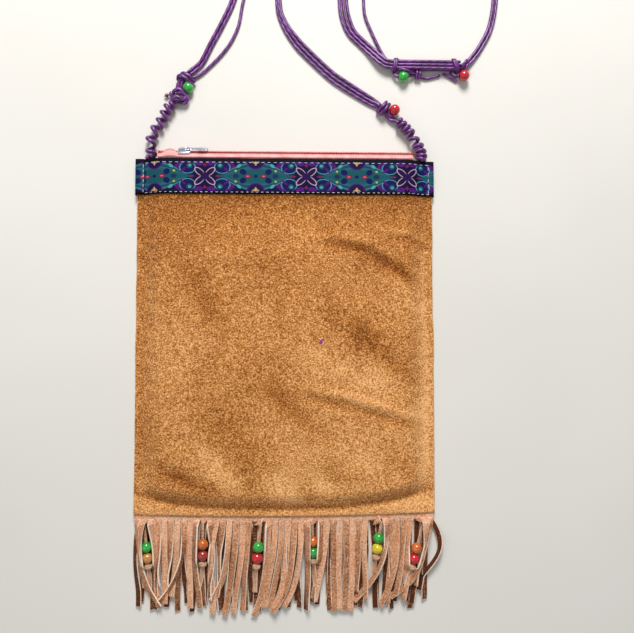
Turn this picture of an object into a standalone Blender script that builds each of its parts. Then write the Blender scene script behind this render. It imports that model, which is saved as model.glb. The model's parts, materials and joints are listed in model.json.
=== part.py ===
"""Fringed suede crossbody pouch, lying on its back with its strap spread out beyond the mouth.

Units are metres. +X runs along the zip, +Y points out of the mouth, and +Z is up through the front.
The origin lies under the middle of the pouch and its fringe, on the surface that they rest on.
"""
import math

import bmesh
import bpy
from mathutils import Matrix, Vector

# Shared
GAP = 0.0003                 # clearance between pieces that touch
RIBBON_NAVY = (0.03, 0.05, 0.20)
CORD_PURPLE = (0.17, 0.03, 0.28)
GREEN = (0.03, 0.30, 0.05)
OCHRE = (0.60, 0.36, 0.05)
YELLOW = (0.80, 0.62, 0.02)
ORANGE = (0.62, 0.16, 0.03)
RED = (0.50, 0.02, 0.02)
DARK_RED = (0.30, 0.01, 0.02)
DARK_PEARL = (0.10, 0.08, 0.20)

# Body panels and ribbon band
BODY_WIDTH = 0.218
BODY_HEIGHT = 0.259          # mouth edge to bottom seam
SUEDE = 0.0013               # hide thickness
SEAM_MARGIN = 0.004          # flat sewn margin along the sides and the bottom
CROWN_RUN = 0.016            # distance over which the front rises from its margin
CROWN_HEIGHT = 0.0066        # rise of the front over its margin, in the middle
MOUTH_CROWN = 0.0046         # the same along the mouth
RIBBON_WIDTH = 0.026
RIBBON = 0.0008              # ribbon thickness
STEP_RUN = 0.006             # length over which the panels climb onto the back run of ribbon

# Zip
CHAIN_TILT = math.radians(50)    # how far the chain's face leans from +Z towards +Y
CHAIN_RISE = 0.0052          # chain centre beyond the mouth edge
CHAIN_Z = 0.006              # chain centre above the resting surface
CHAIN_INSET_LEFT = 0.0175    # side edge to the chain's left end
CHAIN_INSET_RIGHT = 0.0165
COIL_SPLIT = 0.0012          # space between the coil halves, which the slider's web runs in
COIL_WIDTH = 0.0015
COIL_THICK = 0.0016
TAPE = 0.0005                # tape thickness
TAPE_DEPTH = 0.011           # tape sewn inside the mouth
TAPE_PLAY = 0.0004           # clearance between the back tape and the back panel
TAPE_SPACING = 0.00205       # between the two tapes inside the mouth
STOP_LENGTH = 0.0018

SLIDER_INSET = 0.0175        # chain's left end to the slider's middle
SLIDER_LENGTH = 0.0095
SLIDER_SIDE = 0.0006         # thickness of the slider's side walls
SLIDER_PLATE = 0.001         # thickness of its two plates
SLIDER_WEB = 0.0006
SLIDER_PLAY = 0.0004         # clearance round the chain inside the slider
SLIDER_SLOT = 0.0012         # height of the side slots that the tapes run in
SLIDER_TAPER = 0.9           # tail width over nose width
BRIDGE_LENGTH = 0.006        # outer length of the bridge that holds the pull
BRIDGE_RISE = 0.0024
BRIDGE_BAR = 0.0008
BRIDGE_WIDTH = 0.0016

PULL_LENGTH = 0.0155
PULL_WIDTH = 0.0045
PULL_THICK = 0.0009
PULL_EYE_LENGTH = 0.0034
PULL_EYE_WIDTH = 0.0025

# Tape paths between the chain and the sewn run inside the mouth. Each row is a step (along Y, up).
BACK_TAPE_TURN = (0.0001, -0.0009)               # from the tape's outer edge
BACK_TAPE_DROP = (0.0001, -0.0004)               # from beside the slider's underside
BACK_TAPE_BELLY = ((0.0050, 0.0012), (0.0034, 0.0013))    # from the mouth edge on the resting surface
BACK_TAPE_ENTRY = ((0.0014, -0.0006), (-0.0008, 0.0))     # from the mouth edge at the sewn run
FRONT_TAPE_DROP = (0.0002, 0.0002)
FRONT_TAPE_ENTRY = ((0.0007, 0.0012), (0.0001, 0.0002), (-0.0012, 0.0))

# Fringe
FRINGE_LENGTH = 0.076        # longest strip, from the bottom seam
FRINGE_HEADER = 0.005        # uncut part below the seam
STRIP_WIDTH = 0.0042
STRIP_SLIT = 0.0005
STRIP_UNEVEN = 0.010         # how much shorter the shortest strip is

# Beads and beaded thongs
BEAD_RADIUS = 0.004
BEAD_HOLE = 0.0015
THONG_RADIUS = 0.0011
THONG_CLIMB = 0.005          # run over which a thong climbs to its beads' height
THONG_TAIL = 0.020           # thong left below its knot
THONG_KNOT = 0.0024          # knot radius
TIP_BEAD_RADIUS = 0.0022
TIP_BEAD_HOLE = 0.0007

# Each thong: share of the seam from the left at its upper bead, that bead's drop below the seam, and
# the lean of the thong in degrees, positive where its lower end swings to +X.
THONGS = (
    (0.046, 0.0219, 6.0),
    (0.230, 0.0204, 0.0),
    (0.413, 0.0226, -6.0),
    (0.593, 0.0190, 2.0),
    (0.812, 0.0168, -9.0),
    (0.938, 0.0244, -15.0),
)

# Strap
CORD = 0.0022                # strand diameter
STRAND_PITCH = 0.0025        # centre distance of strands that lie side by side
REST_GAP = 0.0001            # between the strap's underside and the resting surface
SPIRAL_RADIUS = 0.0044
KNOT_HEIGHT = 0.0034         # height of the wrap knots' middle
CORD_STEP = 0.0068           # distance between points along a strand
ROUTE_BODY_WIDTH = 0.218     # body width that the routes below were laid out for
CORNER_POINTS = 6            # route points over which a strand leaves its corner behind

SLEEVE_LENGTH = 0.005        # adjuster knots, which enclose two layers of strands
SLEEVE_WALL = 0.0008
SLEEVE_PLAY = 0.0005
ADJUST_LINE = 0.0735         # the strands between the adjusters, beyond the mouth edge
ADJUST_LEFT = 0.082          # middle of each adjuster knot along X
ADJUST_RIGHT = 0.1275

# Route points are (x, y beyond the mouth edge), in millimetres, followed by what varies on the way.
SPIRAL_LEFT = ((-98.8, 1.0), (-98.8, 4.0), (-99.2, 14.0), (-96.6, 21.3), (-92.0, 28.6),
               (-87.8, 37.0), (-84.6, 41.8))
SPIRAL_RIGHT = ((101.2, 1.0), (101.2, 4.5), (100.0, 9.6), (96.6, 14.8), (92.2, 22.0),
                (88.8, 25.8), (84.2, 29.8))
# Knots: radius last.
KNOT_LEFT = ((-84.3, 42.3, 2.8), (-81.9, 45.9, 3.3), (-80.6, 49.2, 3.0), (-79.5, 52.6, 2.3),
             (-78.7, 55.9, 2.0), (-77.2, 59.2, 2.2), (-74.6, 61.8, 3.0), (-72.2, 63.6, 2.8))
KNOT_RIGHT = ((83.6, 30.3, 2.4), (81.0, 32.2, 2.4), (77.6, 33.8, 2.2), (75.0, 36.2, 2.4),
              (73.4, 38.9, 3.0), (71.6, 40.9, 2.8))
# Beads: where the bead's side meets its knot, the direction from there to its middle in degrees, and
# its height above lying on the resting surface.
BEAD_SPOT_LEFT = (-75.7, 56.3, -32, 0)
BEAD_SPOT_RIGHT = (79.0, 35.7, 56, 0.9)
BEAD_SPOT_TIP = (-85.0, 49.6, 180, 0.1)
BEAD_SPOT_ADJUST_LEFT = (88.0, 68.4, -90, 0)
BEAD_SPOT_ADJUST_RIGHT = (133.6, 69.6, -90, 0.9)
# Strands: height above lying flat, then half the spread of the outer strands and the lift of the
# middle one, which rides on the outer two where they close up.
PAIR_ROUTE = (
    (-72.4, 65.3, 1.2, 1.3, 0), (-69.2, 68.6, 0.3, 1.3, 0), (-62.8, 74.6, 0, 1.3, 0),
    (-55.9, 88.5, 0, 1.3, 0), (-49.1, 101.6, 0, 1.3, 0), (-41.4, 118, 0, 1.3, 0),
    (-37.8, 130, 0, 1.3, 0), (-36.0, 144, 0, 1.3, 0), (-34.0, 169, 0, 1.3, 0),
    (-24.0, 196, 0, 1.3, 0), (-2.0, 220, 0, 1.3, 0), (28.0, 235, 0, 1.3, 0),
    (62.0, 240, 0, 1.3, 0), (98.0, 235, 0, 1.3, 0), (128.0, 217, 0, 1.3, 0),
    (148.0, 189, 0, 1.3, 0), (157.0, 157, 0, 1.3, 0), (159.0, 137, 0, 1.3, 0),
    (157.7, 118, 0, 1.3, 0), (154.0, 102.4, 0, 1.3, 0), (147.0, 89.0, 0.1, 1.3, 0),
    (141.0, 80.6, 0.5, 1.3, 0), (136.0, 75.4, 1.0, 1.3, 0), (131.2, 72.7, 1.25, 1.3, 0),
    (125.0, 72.2, 1.25, 1.3, 0), (105.0, 72.2, 1.25, 1.3, 0), (85.0, 72.2, 1.25, 1.3, 0),
    (79.2, 72.2, 1.25, 1.3, 0),
)
SINGLE_ROUTE = (
    (-70.2, 62.0, 1.2, 0, 0), (-67.2, 63.6, 0.4, 0, 0), (-62.4, 66.4, 0, 0, 0),
    (-54.5, 73.9, 0, 0, 0), (-47.8, 81.2, 0, 0, 0), (-41.1, 90.6, 0, 0, 0),
    (-35.6, 103.1, 0, 0, 0), (-32.9, 118, 0, 0, 0), (-30.5, 131, 0, 0, 0),
    (-29.0, 149, 0, 0, 0), (-26.0, 172, 0, 0, 0), (-17.0, 195, 0, 0, 0),
    (0.0, 211, 0, 0, 0), (17.0, 215, 0, 0, 0), (35.0, 209, 0, 0, 0),
    (49.0, 191, 0, 0, 0), (55.5, 167, 0, 0, 0), (58.0, 142, 0, 0, 0),
    (58.8, 118, 0, 0, 0), (60.2, 110.0, 0, 0, 0), (63.2, 102.5, 0, 0, 0),
    (67.8, 92.2, 0, 0, 0), (71.6, 84.6, 0.1, 0, 0), (75.0, 78.8, 0.8, 0, 0),
    (77.6, 76.1, 1.25, 0, 0), (83.0, 76.0, 1.25, 0, 0), (90.0, 76.0, 1.25, 0, 0),
    (97.0, 76.0, 1.25, 0, 0),
)
TRIPLE_ROUTE = (
    (70.7, 42.0, 0.8, 1.35, 2.25), (67.0, 44.7, 0.1, 2.05, 1.6), (61.3, 48.0, 0, 2.6, 0.3),
    (43.6, 59.1, 0, 3.0, 0), (31.9, 67.6, 0, 2.9, 0), (13.0, 85.6, 0, 2.9, 0),
    (5.5, 94.5, 0, 2.55, 0.6), (0.4, 102.0, 0, 2.0, 1.6), (-3.6, 110.5, 0, 1.6, 2.0),
    (-5.3, 118, 0, 1.4, 2.15), (-6.0, 134, 0, 1.4, 2.15), (-5.5, 157, 0, 2.0, 1.6),
    (-2.0, 180, 0, 2.6, 0.2), (8.0, 196, 0, 2.6, 0), (19.5, 201, 0, 2.6, 0),
    (31.0, 195, 0, 2.6, 0), (39.0, 179, 0, 2.6, 0), (42.0, 157, 0, 2.6, 0),
    (42.6, 135, 0, 2.6, 0), (43.3, 118, 0, 2.9, 0), (45.6, 107.5, 0, 3.0, 0),
    (49.6, 98.8, 0, 2.8, 0), (56.4, 91.7, 0.1, 2.6, 0), (62.0, 86.4, 0.6, 2.6, 0),
    (66.9, 81.2, 2.0, 2.6, 0), (70.9, 77.0, 3.3, 2.55, 0), (75.0, 74.2, 3.75, 2.5, 0),
    (79.2, 73.5, 3.75, 2.5, 0), (86.0, 73.5, 3.75, 2.5, 0), (105.0, 73.5, 3.75, 2.5, 0),
    (125.0, 73.5, 3.75, 2.5, 0), (131.0, 73.5, 3.75, 2.5, 0),
)
LOWER_LAYER = 0.00125        # height of the strands above lying flat inside an adjuster
UPPER_LAYER = 0.00375

# Worked out from the sizes above
COIL_HALF = COIL_SPLIT / 2 + COIL_WIDTH          # chain middle to a coil's outer edge
SLIDER_CAVITY = COIL_HALF + SLIDER_PLAY * 2
SLIDER_HALF = SLIDER_CAVITY + SLIDER_SIDE
CAVITY_HEIGHT = COIL_THICK / 2 + SLIDER_PLAY
SLIDER_TOP = CAVITY_HEIGHT + SLIDER_PLATE
ZIP_RISE = CHAIN_RISE + SLIDER_HALF * math.cos(CHAIN_TILT) + SLIDER_TOP * math.sin(CHAIN_TILT)
TOTAL_LENGTH = FRINGE_LENGTH + BODY_HEIGHT + ZIP_RISE
MOUTH_Y = TOTAL_LENGTH / 2 - ZIP_RISE
SEAM_Y = MOUTH_Y - BODY_HEIGHT
RIBBON_Y = MOUTH_Y - RIBBON_WIDTH                # the ribbon's lower edge
SIDE = BODY_WIDTH / 2
RIBBON_LIFT = RIBBON + GAP
CHAIN_LEFT = -SIDE + CHAIN_INSET_LEFT
CHAIN_RIGHT = SIDE - CHAIN_INSET_RIGHT
SLIDER_X = CHAIN_LEFT + SLIDER_INSET
CHAIN_FRAME = Matrix.Translation((0, MOUTH_Y + CHAIN_RISE, CHAIN_Z)) @ Matrix.Rotation(-CHAIN_TILT, 4, "X")
FRINGE_TOP = 2 * SUEDE + GAP
BEAD_REACH = math.sqrt(BEAD_RADIUS**2 - BEAD_HOLE**2)    # half a bead's length along its hole
BEAD_Z = SUEDE + GAP + BEAD_RADIUS               # beads lie on the back layer of the fringe
BEAD_STEP = 2 * BEAD_REACH + GAP
STRAND_Z = REST_GAP + CORD / 2


# ---------------------------------------------------------------- helpers

def finish(item, colour, roughness, metallic=0.0):
    """Give an object its own plain material."""
    material = bpy.data.materials.new(item.name)
    material.use_nodes = True
    shader = material.node_tree.nodes["Principled BSDF"]
    shader.inputs["Base Color"].default_value = (*colour, 1)
    shader.inputs["Roughness"].default_value = roughness
    shader.inputs["Metallic"].default_value = metallic
    item.data.materials.clear()
    item.data.materials.append(material)
    return item


def new_object(name, data, matrix=None):
    item = bpy.data.objects.new(name, data)
    bpy.context.scene.collection.objects.link(item)
    if matrix is not None:
        item.matrix_world = matrix
    return item


def mesh_object(name, bm, matrix=None):
    """Close a bmesh into a named object with its faces pointing out."""
    bmesh.ops.recalc_face_normals(bm, faces=bm.faces)
    mesh = bpy.data.meshes.new(name)
    bm.to_mesh(mesh)
    bm.free()
    return new_object(name, mesh, matrix)


def prism_bmesh(outline, depth):
    """Extrude a flat outline of 3-D points by the vector depth."""
    bm = bmesh.new()
    face = bm.faces.new([bm.verts.new(point) for point in outline])
    grown = bmesh.ops.extrude_face_region(bm, geom=[face])
    moved = [part for part in grown["geom"] if isinstance(part, bmesh.types.BMVert)]
    bmesh.ops.translate(bm, verts=moved, vec=depth)
    return bm


def box_bmesh(low, high):
    bm = bmesh.new()
    bmesh.ops.create_cube(bm, size=1)
    low = Vector(low)
    size = Vector(high) - low
    bmesh.ops.scale(bm, vec=size, verts=bm.verts)
    bmesh.ops.translate(bm, vec=low + size / 2, verts=bm.verts)
    return bm


def bevel_edges(item, width, segments=2):
    rounding = item.modifiers.new("rounding", "BEVEL")
    rounding.width = width
    rounding.segments = segments
    rounding.limit_method = "ANGLE"


def boolean(item, other, operation):
    """Cut or join a hidden helper object into an item."""
    other.hide_render = True
    other.display_type = "WIRE"
    cut = item.modifiers.new(other.name, "BOOLEAN")
    cut.operation = operation
    cut.object = other
    cut.solver = "EXACT"


def solidify(item, thickness, offset):
    wall = item.modifiers.new("wall", "SOLIDIFY")
    wall.thickness = thickness
    wall.offset = offset
    wall.use_even_offset = offset == 0


def smoothstep(value):
    value = min(max(value, 0.0), 1.0)
    return value * value * (3 - 2 * value)


# ---------------------------------------------------------------- panels, ribbon

def ribbon_step(y):
    """Height that the back run of ribbon adds under the panels at y."""
    return RIBBON_LIFT * smoothstep((y - (RIBBON_Y - GAP - STEP_RUN)) / STEP_RUN)


def front_face(x, y):
    """Height of the front panel's outer face."""
    side = smoothstep((SIDE - abs(x) - SEAM_MARGIN) / CROWN_RUN)
    bottom = smoothstep((y - SEAM_Y - SEAM_MARGIN) / CROWN_RUN)
    towards_mouth = smoothstep((y - (RIBBON_Y - 3 * CROWN_RUN)) / (2.5 * CROWN_RUN))
    height = CROWN_HEIGHT + (MOUTH_CROWN - CROWN_HEIGHT) * towards_mouth
    return ribbon_step(y) + FRINGE_TOP + side * bottom * height


def stations(low, high, near_low, near_high, middle):
    """Coordinates from low to high, with chosen distances from each end and an even middle."""
    start = [low + step for step in near_low]
    end = [high - step for step in reversed(near_high)]
    gap = (end[0] - start[-1]) / (middle + 1)
    return start + [start[-1] + gap * (i + 1) for i in range(middle)] + end


def surface_bmesh(xs, ys, height):
    """A grid over the stations xs and ys, lifted by a height function."""
    bm = bmesh.new()
    columns = len(xs) - 1
    rows = len(ys) - 1
    bmesh.ops.create_grid(bm, x_segments=columns, y_segments=rows, size=1)
    for vert in bm.verts:
        x = xs[round((vert.co.x + 1) / 2 * columns)]
        y = ys[round((vert.co.y + 1) / 2 * rows)]
        vert.co = (x, y, height(x, y))
    return bm


def crown_steps():
    """Distances from an edge of the front panel at which its mesh follows the crown."""
    return [0] + [SEAM_MARGIN + CROWN_RUN * i / 3 for i in range(4)]


def panel_columns():
    return stations(-SIDE, SIDE, crown_steps(), crown_steps(), 7)


def add_panels():
    step_high = RIBBON_WIDTH + GAP
    top_rows = (0, step_high, step_high + STEP_RUN * 0.5, step_high + STEP_RUN,
                step_high + CROWN_RUN * 1.25, step_high + CROWN_RUN * 2.125)
    rows = stations(SEAM_Y, MOUTH_Y, crown_steps(), top_rows, 4)
    front = mesh_object("front_panel", surface_bmesh(panel_columns(), rows, front_face))
    solidify(front, SUEDE, -1)
    finish(front, (0.52, 0.24, 0.06), 0.9)

    step_rows = [MOUTH_Y - row for row in reversed(top_rows[:4])]
    upper = [(-SIDE, y, SUEDE + ribbon_step(y)) for y in [SEAM_Y, *step_rows]]
    lower = [(-SIDE, y, ribbon_step(y)) for y in reversed([SEAM_Y, *step_rows])]
    back = mesh_object("back_panel", prism_bmesh(upper + lower, (BODY_WIDTH, 0, 0)))
    finish(back, (0.50, 0.23, 0.07), 0.92)


def add_ribbon():
    def height(x, y):
        return front_face(x, y) + GAP
    rows = [RIBBON_Y, (RIBBON_Y + MOUTH_Y) / 2, MOUTH_Y]
    front = mesh_object("ribbon_front", surface_bmesh(panel_columns(), rows, height))
    solidify(front, RIBBON, 1)
    finish(front, RIBBON_NAVY, 0.7)
    back = mesh_object("ribbon_back", box_bmesh((-SIDE, RIBBON_Y, 0), (SIDE, MOUTH_Y, RIBBON)))
    finish(back, RIBBON_NAVY, 0.7)


# ---------------------------------------------------------------- zip

def chain_point(across, up):
    """World (y, z) of a point in the chain's cross-section."""
    point = CHAIN_FRAME @ Vector((0, across, up))
    return point.y, point.z


def add_tape(name, path):
    """One tape, from its cross-section path of (y, z) points."""
    bm = bmesh.new()
    low = CHAIN_LEFT - STOP_LENGTH
    verts = [bm.verts.new((low, y, z)) for y, z in path]
    edges = [bm.edges.new(pair) for pair in zip(verts, verts[1:])]
    grown = bmesh.ops.extrude_edge_only(bm, edges=edges)
    moved = [part for part in grown["geom"] if isinstance(part, bmesh.types.BMVert)]
    bmesh.ops.translate(bm, verts=moved, vec=(CHAIN_RIGHT + STOP_LENGTH - low, 0, 0))
    tape = mesh_object(name, bm)
    solidify(tape, TAPE, 0)
    finish(tape, (0.62, 0.16, 0.14), 0.75)


def add_tapes():
    def stepped(base, *steps):
        return [(base[0] + along, base[1] + up) for along, up in steps]

    beyond = SLIDER_HALF + TAPE * 2.5
    inner = COIL_HALF + GAP
    sewn = (-TAPE_DEPTH, 0.0)

    run = RIBBON_LIFT + SUEDE + TAPE_PLAY + TAPE / 2
    turn = chain_point(beyond, 0)
    path = [chain_point(inner, 0), turn, *stepped(turn, BACK_TAPE_TURN)]
    path += stepped(chain_point(SLIDER_HALF + TAPE, -SLIDER_TOP), BACK_TAPE_DROP)
    path += stepped((MOUTH_Y, 0.0), *BACK_TAPE_BELLY)
    path += stepped((MOUTH_Y, run), *BACK_TAPE_ENTRY, sewn)
    add_tape("zip_tape_back", path)

    run += TAPE_SPACING
    path = [chain_point(-inner, 0), chain_point(-beyond, 0)]
    path += stepped(chain_point(-beyond, -SLIDER_TOP), FRONT_TAPE_DROP)
    path += stepped((MOUTH_Y, run), *FRONT_TAPE_ENTRY, sewn)
    add_tape("zip_tape_front", path)


def add_chain():
    for name, near, far in (("zip_coil_front", -COIL_HALF, -COIL_SPLIT / 2),
                            ("zip_coil_back", COIL_SPLIT / 2, COIL_HALF)):
        bm = box_bmesh((CHAIN_LEFT, near, -COIL_THICK / 2), (CHAIN_RIGHT, far, COIL_THICK / 2))
        finish(mesh_object(name, bm, CHAIN_FRAME), (0.45, 0.05, 0.05), 0.5)
    for name, low in (("zip_stop_left", CHAIN_LEFT - GAP - STOP_LENGTH),
                      ("zip_stop_right", CHAIN_RIGHT + GAP)):
        end = low + STOP_LENGTH
        bm = box_bmesh((low, -COIL_HALF, -COIL_THICK / 2), (end, COIL_HALF, COIL_THICK / 2))
        stop = mesh_object(name, bm, CHAIN_FRAME)
        bevel_edges(stop, 0.0003)
        finish(stop, (0.35, 0.03, 0.03), 0.45)


def add_slider():
    """The slider: two plates, side walls with tape slots, a web between the coils, and a bridge."""
    slot = SLIDER_SLOT / 2
    web = SLIDER_WEB / 2
    right = [(web, -CAVITY_HEIGHT), (SLIDER_CAVITY, -CAVITY_HEIGHT), (SLIDER_CAVITY, -slot),
             (SLIDER_HALF, -slot), (SLIDER_HALF, -SLIDER_TOP)]
    section = right + [(-y, z) for y, z in reversed(right)]
    section += [(-y, -z) for y, z in right] + [(y, -z) for y, z in reversed(right)]
    start = -SLIDER_LENGTH / 2
    bm = prism_bmesh([(start, y, z) for y, z in section], (SLIDER_LENGTH, 0, 0))
    for vert in bm.verts:
        if vert.co.x > 0 and abs(vert.co.y) > COIL_HALF:
            vert.co.y *= SLIDER_TAPER
    frame = CHAIN_FRAME @ Matrix.Translation((SLIDER_X, 0, 0))
    slider = mesh_object("zip_slider", bm, frame)

    outer = BRIDGE_LENGTH / 2
    inner = outer - BRIDGE_BAR
    top = SLIDER_TOP + BRIDGE_RISE
    foot = SLIDER_TOP - SLIDER_PLATE / 2
    arch = [(-outer, foot), (-outer, top - BRIDGE_BAR), (-inner, top), (inner, top),
            (outer, top - BRIDGE_BAR), (outer, foot), (inner, foot), (inner, top - BRIDGE_BAR),
            (-inner, top - BRIDGE_BAR), (-inner, foot)]
    bm = prism_bmesh([(x, -BRIDGE_WIDTH / 2, z) for x, z in arch], (0, BRIDGE_WIDTH, 0))
    bridge = mesh_object("slider_bridge_shape", bm, frame)
    boolean(slider, bridge, "UNION")
    finish(slider, (0.72, 0.73, 0.75), 0.25, 1.0)


def add_pull():
    """The pull: a plate with an eye round the bridge. Its origin is the hinge axis in that eye."""
    bar = PULL_THICK
    half = PULL_WIDTH / 2
    tip = PULL_LENGTH - bar / 2
    outline = [(-bar / 2, -half), (tip - half, -half), (tip, -half / 2), (tip, half / 2),
               (tip - half, half), (-bar / 2, half)]
    bm = prism_bmesh([(x, y, -PULL_THICK / 2) for x, y in outline], (0, 0, PULL_THICK))
    hinge_height = SLIDER_TOP + (BRIDGE_RISE - BRIDGE_BAR) / 2
    frame = CHAIN_FRAME @ Matrix.Translation((SLIDER_X, 0, hinge_height))
    pull = mesh_object("zip_pull", bm, frame)
    low = (bar / 2, -PULL_EYE_WIDTH / 2, -PULL_THICK)
    high = (bar / 2 + PULL_EYE_LENGTH, PULL_EYE_WIDTH / 2, PULL_THICK)
    eye = mesh_object("pull_eye_shape", box_bmesh(low, high), frame)
    boolean(pull, eye, "DIFFERENCE")
    finish(pull, (0.75, 0.76, 0.78), 0.22, 1.0)


# ---------------------------------------------------------------- fringe and thongs

def thong_line(place):
    """Upper bead centre, lower bead centre and the unit direction down a thong."""
    share, drop, lean = place
    down = Vector((math.sin(math.radians(lean)), -math.cos(math.radians(lean)), 0))
    upper = Vector((-SIDE + share * BODY_WIDTH, SEAM_Y - drop, BEAD_Z))
    return upper, upper + down * BEAD_STEP, down


def thong_root(upper, down):
    """Where a thong leaves the seam, at the beads' height."""
    return upper + down * ((SEAM_Y - 2 * GAP - upper.y) / down.y)


def bead_travel(place):
    """How far a thong's beads slide up, to where the thong starts to climb."""
    upper, _, down = thong_line(place)
    straight = (upper - thong_root(upper, down)).length - THONG_CLIMB
    return straight - BEAD_REACH - GAP


def bead_lanes():
    """The stretches of X that the beads sweep at the height of the front fringe layer."""
    reach = math.sqrt(BEAD_RADIUS**2 - (BEAD_Z - FRINGE_TOP) ** 2) + GAP
    lanes = []
    for place in THONGS:
        upper, lower, down = thong_line(place)
        highest = upper - down * bead_travel(place)
        ends = (highest.x, upper.x, lower.x)
        lanes.append((min(ends) - reach, max(ends) + reach))
    return lanes


def add_fringe_layer(name, bottom, phase, lanes):
    """A comb of strips hanging from an uncut header, leaving out strips in the given lanes."""
    pitch = STRIP_WIDTH + STRIP_SLIT
    count = int((BODY_WIDTH + STRIP_SLIT) / pitch)
    start = -(count * pitch - STRIP_SLIT) / 2
    root = SEAM_Y - GAP
    header = SEAM_Y - FRINGE_HEADER
    outline = [(SIDE, root), (-SIDE, root), (-SIDE, header)]
    for i in range(count):
        left = start + i * pitch
        right = left + STRIP_WIDTH
        if any(left < high and right > low for low, high in lanes):
            continue
        drop = FRINGE_LENGTH - STRIP_UNEVEN * (0.5 + 0.5 * math.sin(1.9 * i + phase))
        tip = SEAM_Y - drop
        outline += [(left, header), (left, tip), (right, tip), (right, header)]
    outline.append((SIDE, header))
    bm = prism_bmesh([(x, y, bottom) for x, y in outline], (0, 0, SUEDE))
    bmesh.ops.remove_doubles(bm, verts=bm.verts, dist=1e-6)
    finish(mesh_object(name, bm), (0.50, 0.25, 0.13), 0.9)


def add_fringe():
    add_fringe_layer("fringe_back", 0, 0.0, [])
    add_fringe_layer("fringe_front", SUEDE + GAP, 2.2, bead_lanes())


def add_thongs():
    low_z = FRINGE_TOP + GAP + THONG_RADIUS
    for number, place in enumerate(THONGS, 1):
        upper, lower, down = thong_line(place)
        root = thong_root(upper, down)
        knot = (lower - root).length + BEAD_REACH + GAP + THONG_KNOT
        end = knot + THONG_KNOT + THONG_TAIL
        profile = [(0, low_z, THONG_RADIUS), (THONG_CLIMB * 0.5, (low_z + BEAD_Z) / 2, THONG_RADIUS),
                   (THONG_CLIMB, BEAD_Z, THONG_RADIUS), (knot - THONG_KNOT, BEAD_Z, THONG_RADIUS),
                   (knot - THONG_KNOT * 0.7, BEAD_Z, THONG_KNOT * 0.75), (knot, BEAD_Z, THONG_KNOT),
                   (knot + THONG_KNOT * 0.7, BEAD_Z, THONG_KNOT * 0.75),
                   (knot + THONG_KNOT, BEAD_Z, THONG_RADIUS),
                   (knot + THONG_TAIL * 0.4, low_z, THONG_RADIUS), (end, low_z, THONG_RADIUS * 0.8)]
        points = []
        for distance, z, radius in profile:
            spot = root + down * distance
            points.append((Vector((spot.x, spot.y, z)), radius))
        thong = tube(f"beaded_thong_{number}", points)
        finish(thong, (0.55, 0.30, 0.18), 0.9)


# ---------------------------------------------------------------- beads

def bead_mesh(name, radius, hole):
    """A round bead about the Z axis, with a drilled hole."""
    bm = bmesh.new()
    top = math.asin(math.sqrt(radius**2 - hole**2) / radius)
    steps = 6
    profile = []
    for i in range(steps + 1):
        angle = -top + 2 * top * i / steps
        profile.append((radius * math.cos(angle), 0, radius * math.sin(angle)))
    verts = [bm.verts.new(point) for point in profile]
    edges = [bm.edges.new((verts[i], verts[(i + 1) % len(verts)])) for i in range(len(verts))]
    bmesh.ops.spin(bm, geom=verts + edges, cent=(0, 0, 0), axis=(0, 0, 1), angle=2 * math.pi,
                   steps=12, use_merge=True)
    bmesh.ops.remove_doubles(bm, verts=bm.verts, dist=1e-6)
    bmesh.ops.recalc_face_normals(bm, faces=bm.faces)
    mesh = bpy.data.meshes.new(name)
    bm.to_mesh(mesh)
    bm.free()
    mesh.shade_smooth()
    mesh.set_sharp_from_angle(angle=math.radians(40))
    return mesh


def add_bead(name, mesh, centre, along, colour):
    """A bead of its own mesh copy, with its hole along a direction."""
    turn = Vector(along).to_track_quat("Z", "Y").to_matrix().to_4x4()
    item = new_object(name, mesh.copy(), Matrix.Translation(centre) @ turn)
    return finish(item, colour, 0.15)


def add_thong_beads(mesh):
    colours = ((GREEN, OCHRE), (ORANGE, DARK_RED), (GREEN, RED), (ORANGE, GREEN), (GREEN, YELLOW),
               (ORANGE, RED))
    for number, (place, pair) in enumerate(zip(THONGS, colours), 1):
        upper, lower, down = thong_line(place)
        add_bead(f"thong_bead_upper_{number}", mesh, upper, down, pair[0])
        add_bead(f"thong_bead_lower_{number}", mesh, lower, down, pair[1])


# ---------------------------------------------------------------- strap

def tube(name, points):
    """A closed tube through (position, radius) points."""
    curve = bpy.data.curves.new(name, "CURVE")
    curve.dimensions = "3D"
    curve.bevel_depth = 1
    curve.bevel_resolution = 2
    curve.use_fill_caps = True
    curve.render_resolution_u = 0
    spline = curve.splines.new("POLY")
    spline.points.add(len(points) - 1)
    for target, (position, radius) in zip(spline.points, points):
        target.co = (*position, 1)
        target.radius = radius
    return new_object(name, curve)


def smooth_curve(points):
    """Closely spaced points of a Catmull-Rom curve through tuples of numbers."""
    padded = [points[0], *points, points[-1]]
    result = []
    for p0, p1, p2, p3 in zip(padded, padded[1:], padded[2:], padded[3:]):
        for step in range(20):
            t = step / 20
            result.append(tuple(
                0.5 * (2 * b + (c - a) * t + (2 * a - 5 * b + 4 * c - d) * t**2
                       + (3 * b - a - 3 * c + d) * t**3)
                for a, b, c, d in zip(p0, p1, p2, p3)))
    result.append(tuple(points[-1]))
    return result


def spaced(points, step):
    """Every point of a fine polyline that is about one step further on, with both ends."""
    total = sum((b - a).length for a, b in zip(points, points[1:]))
    count = max(2, round(total / step))
    kept = [points[0]]
    walked = 0
    for a, b in zip(points, points[1:]):
        walked += (b - a).length
        if walked >= total / count * len(kept) - 1e-9 and len(kept) < count:
            kept.append(b)
    return kept + [points[-1]]


def from_corner(side, index):
    """Shift in X of a route point, which follows its mouth corner near the pouch."""
    return side * (BODY_WIDTH - ROUTE_BODY_WIDTH) / 2 * max(0, 1 - index / CORNER_POINTS)


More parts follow.
